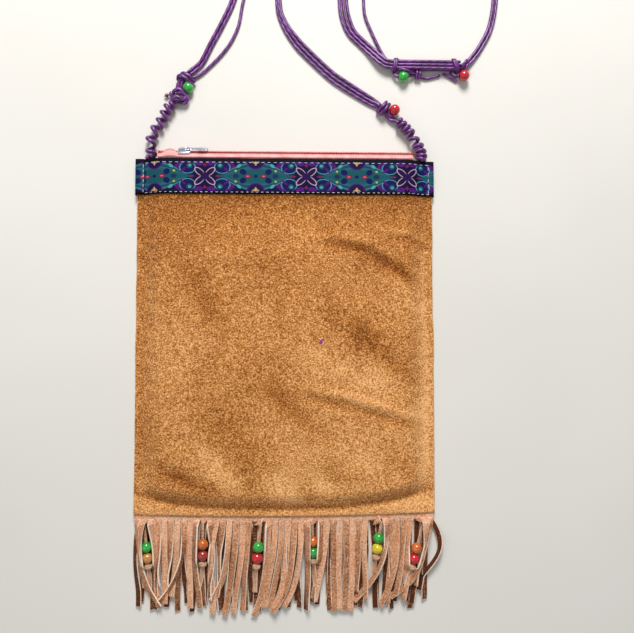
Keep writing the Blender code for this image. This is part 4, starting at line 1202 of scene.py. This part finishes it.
def chain_point(x, across, up):
    """World point of a place in the chain's own frame."""
    return CHAIN_FRAME @ Vector((x, across, up))


def opened(x):
    """How far the front half stands open left of the slider."""
    span = (x - COIL_LEFT - 0.001) / (SLIDER_X - 0.0055 - COIL_LEFT)
    return math.sin(math.pi * span) if 0 < span < 1 else 0.0


def add_tape(name, side, end_across):
    """One tape: from its coil over the edge of the mouth and down inside it, through the points of
    end_across, each a distance beyond the mouth edge and a height.
    """
    if side > 0:
        profile = [(0.0009, 0.0), (0.0016, 0.0), (0.0021, -0.0003), (0.0022, -0.0011), (0.0021, -0.0018)]
    else:
        profile = [(0.0009, 0.0), (0.0030, 0.0), (0.0042, 0.0), (0.00475, -0.0002), (0.00485, -0.0012),
                   (0.0048, -0.0020)]
    bm = bmesh.new()
    uv = bm.loops.layers.uv.new("UVMap")
    steps = 150
    path = [(side * across, up) for across, up in profile]
    start = [chain_point(0, across, up) for across, up in path]
    inner = [Vector((0, MOUTH_Y + along, z)) for along, z in end_across]
    line = [Vector(point) for point in smooth_curve([tuple(p) for p in start + inner], 4)]
    arc = [0.0]
    for a, b in zip(line, line[1:]):
        arc.append(arc[-1] + (b - a).length)
    low = COIL_LEFT - TAPE_BEYOND
    verts = [bm.verts.new((low, point.y, point.z)) for point in line]
    edges = [bm.edges.new(pair) for pair in zip(verts, verts[1:])]
    bmesh.ops.spin(bm, geom=verts + edges, cent=(0, 0, 0), axis=(1, 0, 0), angle=0, steps=steps,
                   dvec=((COIL_RIGHT + TAPE_BEYOND - low) / steps, 0, 0))
    for face in bm.faces:
        for loop in face.loops:
            spot = min(range(len(line)), key=lambda i: (line[i].yz - loop.vert.co.yz).length)
            loop[uv].uv = (loop.vert.co.x, arc[spot])
    for vert in bm.verts:
        x = vert.co.x
        free = smoothstep((vert.co.y - MOUTH_Y) / 0.004)
        if side < 0:
            vert.co.y += opened(x) * OPEN_BY * free
            vert.co.z += opened(x) * OPEN_RISE * free
        vert.co.z += fractal(x, 0.0, 4.0 + side, 40) * 0.25 * MM * free * smoothstep((x + 0.06) / 0.02)
    tape = piece(name, bm, [CORAL_TAPE], "root")
    thicken(tape, TAPE, 0, rim_finish=0)
    return tape


def add_coil(name, side):
    """Half of the chain: one nylon coil, with its loops side by side."""
    turns = round((COIL_RIGHT - COIL_LEFT) / COIL_PITCH)
    per_turn = 9
    points = []
    for i in range(turns * per_turn + 1):
        angle = 2 * math.pi * i / per_turn
        x = COIL_LEFT + (COIL_RIGHT - COIL_LEFT) * i / (turns * per_turn)
        across = side * (COIL_ASIDE + COIL_RADIUS * math.cos(angle))
        up = COIL_RADIUS * math.sin(angle)
        point = chain_point(x, across, up)
        if side < 0:
            point.y += opened(x) * OPEN_BY
            point.z += opened(x) * OPEN_RISE
        point.z += fractal(x, 0.0, 4.0 + side, 40) * 0.25 * MM * smoothstep((x + 0.06) / 0.02)
        points.append(point)
    return tube(name + "_loops", points, COIL_WIRE, CORAL_NYLON, sides=0)


def add_zip():
    """Tapes, the chain's two halves, and a whipped tack at either end of the chain."""
    behind = ((0.0062, 0.0020), (0.0045, 0.0014), (0.0022, 0.0020), (-0.0008, 0.00305), (-0.0105, 0.00305))
    before = ((0.0012, 0.0078), (0.0004, 0.0060), (-0.0012, 0.0051), (-0.0105, 0.0051))
    back = add_tape("zip_tape_back_woven", 1, behind)
    front = add_tape("zip_tape_front_woven", -1, before)
    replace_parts(back, "zip_tape_back")
    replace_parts(front, "zip_tape_front")
    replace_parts(add_coil("zip_coil_back", 1), "zip_coil_back")
    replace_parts(add_coil("zip_coil_front", -1), "zip_coil_front")
    for label in ("left", "right"):
        low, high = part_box(f"zip_stop_{label}")
        steps = TACK_TURNS * TACK_STEPS
        points = []
        for i in range(steps + 1):
            angle = 2 * math.pi * i / TACK_STEPS
            x = blend_between(low.x + TACK_IN, high.x - TACK_IN, i / steps)
            points.append(chain_point(x, math.cos(angle) * TACK_ACROSS, math.sin(angle) * TACK_UP))
        tack = tube(f"zip_stop_{label}_tack", points, TACK_WIRE, TACK_THREAD, sides=0)
        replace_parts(tack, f"zip_stop_{label}")


def raise_faces(bm, faces, height):
    """Give flat faces a height along Z, as a closed body."""
    grown = bmesh.ops.extrude_face_region(bm, geom=faces)
    moved = [part for part in grown["geom"] if isinstance(part, bmesh.types.BMVert)]
    bmesh.ops.translate(bm, verts=moved, vec=(0, 0, height))
    bmesh.ops.recalc_face_normals(bm, faces=bm.faces)


def rounded_plate(outline, low, high, bevel):
    """A plate from a flat outline in the chain's frame, bevelled all round."""
    bm = bmesh.new()
    face = bm.faces.new([bm.verts.new((x, y, low)) for x, y in outline])
    raise_faces(bm, [face], high - low)
    bmesh.ops.bevel(bm, geom=list(bm.edges), offset=bevel, offset_type="OFFSET", affect="EDGES", segments=2,
                    profile=0.5, material=-1, clamp_overlap=True)
    return bm


def arc_outline(centre, radius, start, end, steps):
    """Points of an arc, with angles in degrees."""
    points = []
    for i in range(steps + 1):
        angle = math.radians(start + (end - start) * i / steps)
        points.append((centre[0] + radius * math.cos(angle), centre[1] + radius * math.sin(angle)))
    return points


def merge(target, source, matrix):
    """Add a bmesh, placed by a matrix, to another."""
    mesh = bpy.data.meshes.new("part")
    source.to_mesh(mesh)
    source.free()
    mesh.transform(matrix)
    target.from_mesh(mesh)
    bpy.data.meshes.remove(mesh)


def add_slider():
    """Slider body with two shield-shaped plates, flanges and a bridge; the pull swings in the bridge."""
    place = CHAIN_FRAME @ Matrix.Translation((SLIDER_X, 0, 0))
    plate_low, plate_high = 0.00122, 0.0021
    half_shield = [(-0.0047, -0.0026), (-0.0040, -0.0034), (0.0008, -0.0034), (0.0040, -0.0026),
                   (0.0047, -0.0014)]
    shield = half_shield + [(x, -y) for x, y in reversed(half_shield)]
    bm = bmesh.new()
    merge(bm, rounded_plate(shield, plate_low, plate_high, 0.00028), place)
    merge(bm, rounded_plate(shield, -plate_high, -plate_low, 0.00028), place)
    for side in (1, -1):
        flange = [(-0.0042, side * 0.0029), (0.0012, side * 0.0029), (0.0040, side * 0.0023),
                  (0.0040, side * 0.0026), (0.0008, side * 0.0034), (-0.0042, side * 0.0034)]
        for low, high in ((0.00065, 0.0013), (-0.0013, -0.00065)):
            merge(bm, rounded_plate(flange, low, high, 0.0001), place)
    web = [(0.0008, -0.0003), (0.0042, -0.0003), (0.0042, 0.0003), (0.0008, 0.0003)]
    merge(bm, rounded_plate(web, -0.0013, 0.0013, 0.00008), place)
    slider = piece("zip_slider_body", bm, [NICKEL], "slider")
    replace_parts(slider, "zip_slider")
    rise = 0.0042
    arch = [(-0.0028, 0, 0.0018), (-0.0028, 0, 0.0031), (-0.0020, 0, rise - 0.0003), (-0.0010, 0, rise),
            (0.0010, 0, rise), (0.0020, 0, rise - 0.0003), (0.0028, 0, 0.0031), (0.0028, 0, 0.0018)]
    line = [place @ Vector(point) for point in smooth_curve(arch, 5)]
    bridge = tube("zip_slider_bridge", line, 0.00048, NICKEL, "slider", sides=4)

    hinge = Matrix.Translation(Vector(JOINTS["pull_swing"]["pos_m"]))
    turn = CHAIN_FRAME.to_3x3().to_4x4()
    half = 0.0021
    outline = arc_outline((0.0013, 0), half - 0.0002, 90, 270, 12)
    waist = [(0.0046, -0.0013), (0.0068, -0.0009), (0.0092, -0.0013), (0.0112, -half)]
    outline += waist + arc_outline((0.0158, 0), half, -90, 90, 12)
    outline += [(x, -y) for x, y in reversed(waist)]
    bm = bmesh.new()
    bm.faces.new([bm.verts.new((x - 0.00035, y, -PULL_THICK / 2)) for x, y in outline])
    hole = arc_outline((0.0011, 0), 0.00105, 0, 330, 11)
    rim = [bm.verts.new((x, y, -PULL_THICK / 2)) for x, y in hole]
    inner = [bm.edges.new((rim[i], rim[(i + 1) % len(rim)])) for i in range(len(rim))]
    outer = [edge for edge in bm.edges if edge not in inner]
    bmesh.ops.delete(bm, geom=list(bm.faces), context="FACES_ONLY")
    filled = bmesh.ops.triangle_fill(bm, edges=outer + inner, use_beauty=True)
    faces = [part for part in filled["geom"] if isinstance(part, bmesh.types.BMFace)]
    raise_faces(bm, faces, PULL_THICK)
    shell = bmesh.new()
    merge(shell, bm, hinge @ turn)
    pull = piece("zip_pull_tab", shell, [NICKEL], "pull")
    rounding = pull.modifiers.new("rounding", "BEVEL")
    rounding.width = 0.0002
    rounding.segments = 2
    rounding.limit_method = "ANGLE"
    rounding.angle_limit = math.radians(50)
    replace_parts(pull, "zip_pull")


# ---------------------------------------------------------------- fringe
STRIP_WIDTH = 0.0042
STRIP_SLIT = 0.0005
HEADER = 0.0044              # uncut part below the seam
STRIP_UNEVEN = 0.007
LONGEST_STRIP = 0.069
STRIP_COUNT = 46
STRONG_SWAY = 10             # mm at the tip, above which a strip stays straight for longer
THONG_THICK = 0.0011
THONG_WIDTH = 0.0017         # where it goes through its beads
TAIL_LENGTH = 0.019
# Each thong's number of cut strips that join in its root, by the number of the first one
THONG_ROOTS = {1: (1.5, 1), 2: (10, 1), 3: (18, 2), 4: (27, 1), 5: (36, 2), 6: (43, 1)}
# Strips of the front layer that stray, by number: how far the middle and the tip swing to +X, the
# drop from the seam and the lift in millimetres, and the twist in degrees, positive where the
# strip's right edge turns up.
STRAYS = {
    0: (1.5, 17, 65, 1.2, 62), 1: (-2.6, 1, 52, 0.3, 12), 2: (3.0, 6, 65, 0.3, -12), 3: (1.0, 2, 50, 0, 70),
    4: (0.5, 1.5, 63, 0.5, 18), 5: (0.8, -1, 50, 0, 74),
    6: (0.4, -3, 58, 0.2, 25), 7: (0.5, -18, 62, 1.8, -66),
    8: (-1.0, 1.0, 66, 0.2, 16), 9: (-1.2, 2.5, 66, 0.4, 34), 11: (2.0, 1.5, 60, 0, 62),
    12: (-3.2, -2.5, 70, 0.5, 30), 13: (-0.6, -4, 58, 0, 66), 14: (-0.8, -13, 60, 1.4, -52),
    15: (0.6, -8, 71, 0.8, 28), 16: (0.4, -6.5, 70, 0.4, 30), 17: (-0.8, -4.5, 68, 0.3, 34),
    20: (-0.8, -11, 72, 0.6, -14), 21: (0.2, -9, 66, 0.4, 18), 22: (0.2, -9.5, 66, 0.6, -22),
    23: (-0.4, -11, 69, 0.4, 20), 24: (-0.2, -15, 69, 1.0, 52), 25: (0.2, -12, 65, 0.8, 46),
    26: (0.4, 1.0, 67, 0.9, 68), 28: (0.2, -5, 60, 0.4, -10), 29: (-0.4, -9, 62, 0.5, 26),
    30: (0.2, 0.6, 69, 0.2, 8), 31: (-0.4, -0.8, 68, 0.1, 18), 32: (0.3, -1.2, 69, 0.2, -8),
    33: (0.0, -1.4, 69, 0.2, 14), 34: (-0.6, -2.0, 55, 0.4, 44), 35: (-1.4, 0.6, 61, 0.5, 46),
    38: (0.6, -23, 62, 2.0, 62), 39: (0.4, -3, 64, 0, 20), 40: (-0.6, -13, 66, 0.8, 36),
    41: (0.0, -6, 58, 0, 66), 42: (-1.8, -5, 62, 0, 60), 44: (1.2, -6, 52, 0.2, 70),
    45: (-3.2, -29, 60, 2.0, 58),
}
OUTSIDE_STRIP = (9.0, -8, 56, 0.8, 62)


def thong_axis(number):
    """Upper and lower bead middles and the direction down a thong."""
    axis = Vector(JOINTS[f"beads_slide_{number}"]["axis"])
    middles = []
    for place in ("upper", "lower"):
        low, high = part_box(f"thong_bead_{place}_{number}")
        middles.append((low + high) / 2)
    return middles[0], middles[1], -axis.normalized()


BEAD_PAIRS = [(*thong_axis(n), JOINTS[f"beads_slide_{n}"]["range_m"][1]) for n in range(1, 7)]


def over_beads(x, y):
    """Height that a strip needs at a point to lie over the bead pairs, wherever they slide."""
    height = 0
    reach = BEAD_RADIUS + 0.0006
    for upper, lower, down, travel in BEAD_PAIRS:
        if abs(x - upper.x) > 0.02:
            continue
        spot = Vector((x, y, upper.z)) - upper
        along = spot.dot(down)
        away = (spot - down * along).length
        end = (lower - upper).length + BEAD_RADIUS
        beyond = max(-travel - BEAD_RADIUS - along, along - end, 0)
        if away < reach + 0.002 and beyond < 0.006:
            top = upper.z + math.sqrt(max(reach**2 - away**2, 0))
            if away > reach:
                top = upper.z * (1 - (away - reach) / 0.002)
            height = max(height, top * (1 - smoothstep(beyond / 0.006)))
    return height


def strip_spot(bend, t, header, centre, offset):
    """Where a strip's point goes, t down from its header and offset across it, and how far it turns."""
    middle, tip, drop, lift, twist, beat, _ = bend
    power = 3 if abs(tip) > STRONG_SWAY else 1.8
    drop *= MM
    y = SEAM_Y - header - (drop - header) * t - seam_bow(centre + offset) * (1 - t * 0.6)
    sway = (tip * t ** power + middle * math.sin(math.pi * min(t * 1.25, 1))) * MM
    sway += 0.35 * MM * math.sin(9 * t + beat) * t
    slope = tip * power * t ** (power - 1) * MM / (drop - header)
    turned = math.radians(twist) * smoothstep(t * 2.2) * (0.75 + 0.25 * math.sin(5 * t + beat))
    along = math.atan(slope)
    flat = offset * math.cos(turned)
    height = 0.5 * STRIP_WIDTH * abs(math.sin(turned)) + offset * math.sin(turned)
    height += lift * MM * math.sin(math.pi * min(t * 1.15, 1)) * 2
    height += 0.3 * MM * (1 + math.sin(7 * t + beat)) * min(t * 3, 1)
    return centre + sway + flat * math.cos(along), y + flat * math.sin(along), height, turned


def add_fringe_layer(label, bottom, phase, skipped, strays, seed):
    """A comb cut from one sheet: a header and strips that each sway, twist and lift a little."""
    random.seed(seed)
    pitch = STRIP_WIDTH + STRIP_SLIT
    count = STRIP_COUNT
    start = -(count * pitch - STRIP_SLIT) / 2
    stations = [-SIDE]
    owner = [None]
    for i in range(count):
        left = start + i * pitch
        stations += [left, left + STRIP_WIDTH / 2, left + STRIP_WIDTH]
        owner += [i, i, i]
    stations.append(SIDE)
    owner.append(None)
    head_rows, strip_rows = 4, 26
    bm = bmesh.new()
    shade = bm.verts.layers.float.new("shade")
    bmesh.ops.create_grid(bm, x_segments=len(stations) - 1, y_segments=head_rows + strip_rows, size=0.5)
    spots = {}
    for vert in bm.verts:
        column = round((vert.co.x + 0.5) * (len(stations) - 1))
        row = round((0.5 - vert.co.y) * (head_rows + strip_rows))
        spots[vert] = (column, row)
    doomed = []
    for face in bm.faces:
        columns = [spots[vert][0] for vert in face.verts]
        rows = [spots[vert][1] for vert in face.verts]
        low, high = min(columns), max(columns)
        slit = owner[low] is None or owner[high] is None or owner[low] != owner[high]
        if min(rows) >= head_rows and (slit or owner[low] in skipped):
            doomed.append(face)
    bmesh.ops.delete(bm, geom=doomed, context="FACES")
    bends = []
    for i in range(count):
        drop = LONGEST_STRIP - STRIP_UNEVEN * (0.5 + 0.5 * math.sin(1.9 * i + phase))
        usual = (random.uniform(-1.8, 1.8), random.uniform(-4, 3), drop / MM, random.uniform(0.0, 0.6),
                 random.choice((-1, 1)) * random.uniform(5, 48))
        bends.append((*strays.get(i, usual), random.uniform(0, 6.28), random.uniform(-0.8, 0.5)))
    for vert, (column, row) in spots.items():
        if not vert.is_valid:
            continue
        x = stations[column]
        slit_number = (column - 1) // 3 + ((column - 1) % 3 == 2)
        header = HEADER + bends[min(max(slit_number, 0), count - 1)][6] * MM * ((column - 1) % 3 != 1)
        if row <= head_rows:
            y = SEAM_Y + TUCK - (TUCK + header) * row / head_rows
            tucked = smoothstep((y - SEAM_Y + 0.001) / TUCK)
            z = bottom + fractal(x, y, 6.0, 60) * 0.2 * MM * (1 - tucked)
            z += (0.0 if label == "front" else SUEDE + 0.0001) * tucked
            vert.co = (x, y - seam_bow(x), max(z, bottom))
            vert[shade] = 0.16 if label == "front" else 0.0
            continue
        i = owner[column]
        t = (row - head_rows) / strip_rows
        centre = start + i * pitch + STRIP_WIDTH / 2
        spot_x, spot_y, height, turned = strip_spot(bends[i], t, header, centre, x - centre)
        z = bottom + height
        under = over_beads(spot_x, spot_y)
        if label == "front":
            z = max(z, under)
        else:
            z = blend_between(z, bottom, min(under / BEAD_RADIUS, 1))
        vert.co = (spot_x, spot_y, z)
        # Painted shade: turned strips are darker, and the back layer is painted much darker as shade under
        # the front layer; sin(3.3 * i) is the strips' own tone
        tone = 0.15 * math.sin(3.3 * i) - 0.12 * abs(math.sin(turned)) + random.uniform(-0.02, 0.02)
        vert[shade] = tone + (0.04 if label == "front" else -0.42)
    comb = piece(f"fringe_{label}_comb", bm, [FRINGE_SUEDE, PALE_EDGE], None)
    thicken(comb, SUEDE * 0.9, 1, bevel=0.00024)
    apply_modifiers(comb)
    comb.data.shade_smooth()
    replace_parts(comb, f"fringe_{label}")
    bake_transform(comb)
    return comb


def add_strip(name, path, widths, thickness, finishes):
    """A narrow suede strip along a path of (point, twist) pairs."""
    bm = bmesh.new()
    steps = len(path) - 1
    bmesh.ops.create_grid(bm, x_segments=2, y_segments=steps, size=0.5)
    shade = bm.verts.layers.float.new("shade")
    for vert in bm.verts:
        index = round((0.5 - vert.co.y) * steps)
        across = vert.co.x
        point, twist = path[index]
        run = (path[min(index + 1, steps)][0] - path[max(index - 1, 0)][0]).normalized()
        side = Vector((0, 0, 1)).cross(run).normalized()
        lifted = side.cross(run)
        width = widths[index]
        vert.co = point + (side * math.cos(twist) + lifted * math.sin(twist)) * across * width
        # Painted light and shade: one side of the turn lighter, the other darker
        vert[shade] = 0.1 * math.sin(twist)
    strip = piece(name, bm, finishes, None)
    return thicken(strip, thickness, 0, bevel=0.0002)


def add_thong(number):
    """A strip that narrows through its two beads, its knot and the tail below."""
    upper, lower, down = thong_axis(number)
    random.seed(100 + number)
    root_z = FRINGE_TOP - SUEDE / 2 + 0.0001
    first, joined = THONG_ROOTS[number]
    pitch = STRIP_WIDTH + STRIP_SLIT
    top_x = -(STRIP_COUNT * pitch - STRIP_SLIT) / 2 + pitch * (first + (joined - 1) / 2) + STRIP_WIDTH / 2
    top = Vector((top_x, SEAM_Y - HEADER + 0.0006 - seam_bow(top_x), root_z))
    travel = JOINTS[f"beads_slide_{number}"]["range_m"][1]
    run = (upper - top).length
    neck = upper - down * min(BEAD_RADIUS + 0.0004 + travel, run - 0.002)
    path = []
    widths = []
    for i in range(10):
        t = i / 9
        spot = top.lerp(neck, t)
        spot.z = blend_between(root_z, upper.z, smoothstep(t))
        path.append((spot, 0.0))
        widths.append(blend_between(pitch * joined - STRIP_SLIT, 0.0018, smoothstep(t * 1.15)))
    for i in range(1, 11):
        path.append((neck.lerp(lower + down * BEAD_RADIUS, i / 10), 0.0))
        widths.append(THONG_WIDTH)
    strip = add_strip(f"beaded_thong_{number}_strip", path, widths, THONG_THICK, [FRINGE_SUEDE, PALE_EDGE])
    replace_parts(strip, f"beaded_thong_{number}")
    apply_modifiers(strip)
    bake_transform(strip)
    add_thong_knot(number, lower + down * (BEAD_RADIUS * 0.93 + 0.0022), down)


def add_thong_knot(number, knot, down):
    """The thong wrapped round itself below the beads, and its tail."""
    side = Vector((0, 0, 1)).cross(down).normalized()
    bm = bmesh.new()
    for lean, size in ((28, 0.0019), (-34, 0.0016)):
        profile = [(size, 0, -0.0013), (size + 0.0008, 0, -0.0011), (size + 0.0010, 0, 0),
                   (size + 0.0008, 0, 0.0011), (size, 0, 0.0013), (size - 0.0006, 0, 0)]
        ring = bmesh.new()
        verts = [ring.verts.new(point) for point in profile]
        edges = [ring.edges.new((verts[i], verts[(i + 1) % 6])) for i in range(6)]
        bmesh.ops.spin(ring, geom=verts + edges, cent=(0, 0, 0), axis=(0, 0, 1), angle=2 * math.pi,
                       steps=20, use_merge=True)
        bmesh.ops.recalc_face_normals(ring, faces=ring.faces)
        turn = down.to_track_quat("Z", "Y").to_matrix().to_4x4()
        tilt = Matrix.Rotation(math.radians(lean), 4, "X")
        merge(bm, ring, Matrix.Translation(knot + side * 0.0002 * lean / 28) @ turn @ tilt)
    for vert in bm.verts:
        vert.co += noise.noise_vector(vert.co * 900) * 0.00018
    piece(f"beaded_thong_{number}_knot", bm, [THONG_SUEDE], "fringe")
    path = []
    widths = []
    sway = random.uniform(-4, 1) * MM
    for i in range(15):
        t = i / 14
        spot = knot + down * (TAIL_LENGTH * t) + side * sway * t * t
        spot.z = blend_between(knot.z, FRINGE_TOP + 0.0008, smoothstep(t * 2.4)) + 0.0004 * math.sin(6 * t)
        path.append((spot, 0.5 * math.sin(3 * t + number)))
        widths.append(blend_between(0.0018, 0.0033, smoothstep(t * 3)))
    tail = add_strip(f"beaded_thong_{number}_tail", path, widths, THONG_THICK, [THONG_SUEDE, PALE_EDGE])
    apply_modifiers(tail)
    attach(tail, "fringe")


def add_fringe():
    add_fringe_layer("back", 0.0, 0.0, (), {45: OUTSIDE_STRIP}, 21)
    skipped = {10, 18, 19, 27, 36, 37, 43}
    add_fringe_layer("front", SUEDE + GAP, 2.2, skipped, STRAYS, 22)
    slots = {n["node"]: n["material_slot"] for n in frame["record"]["subparts"]}
    for number in range(1, 7):
        add_thong(number)
        _, _, down = thong_axis(number)
        for place in ("upper", "lower"):
            node = f"thong_bead_{place}_{number}"
            add_bead(node, f"bead_pair_{number}", slots[node], down)


# ---------------------------------------------------------------- assemble
add_camera()
add_studio()
add_strap_and_cords()
add_front_panel()
add_back_panel()
add_ribbon()
add_zip()
add_slider()
add_fringe()
add_all_stitches()
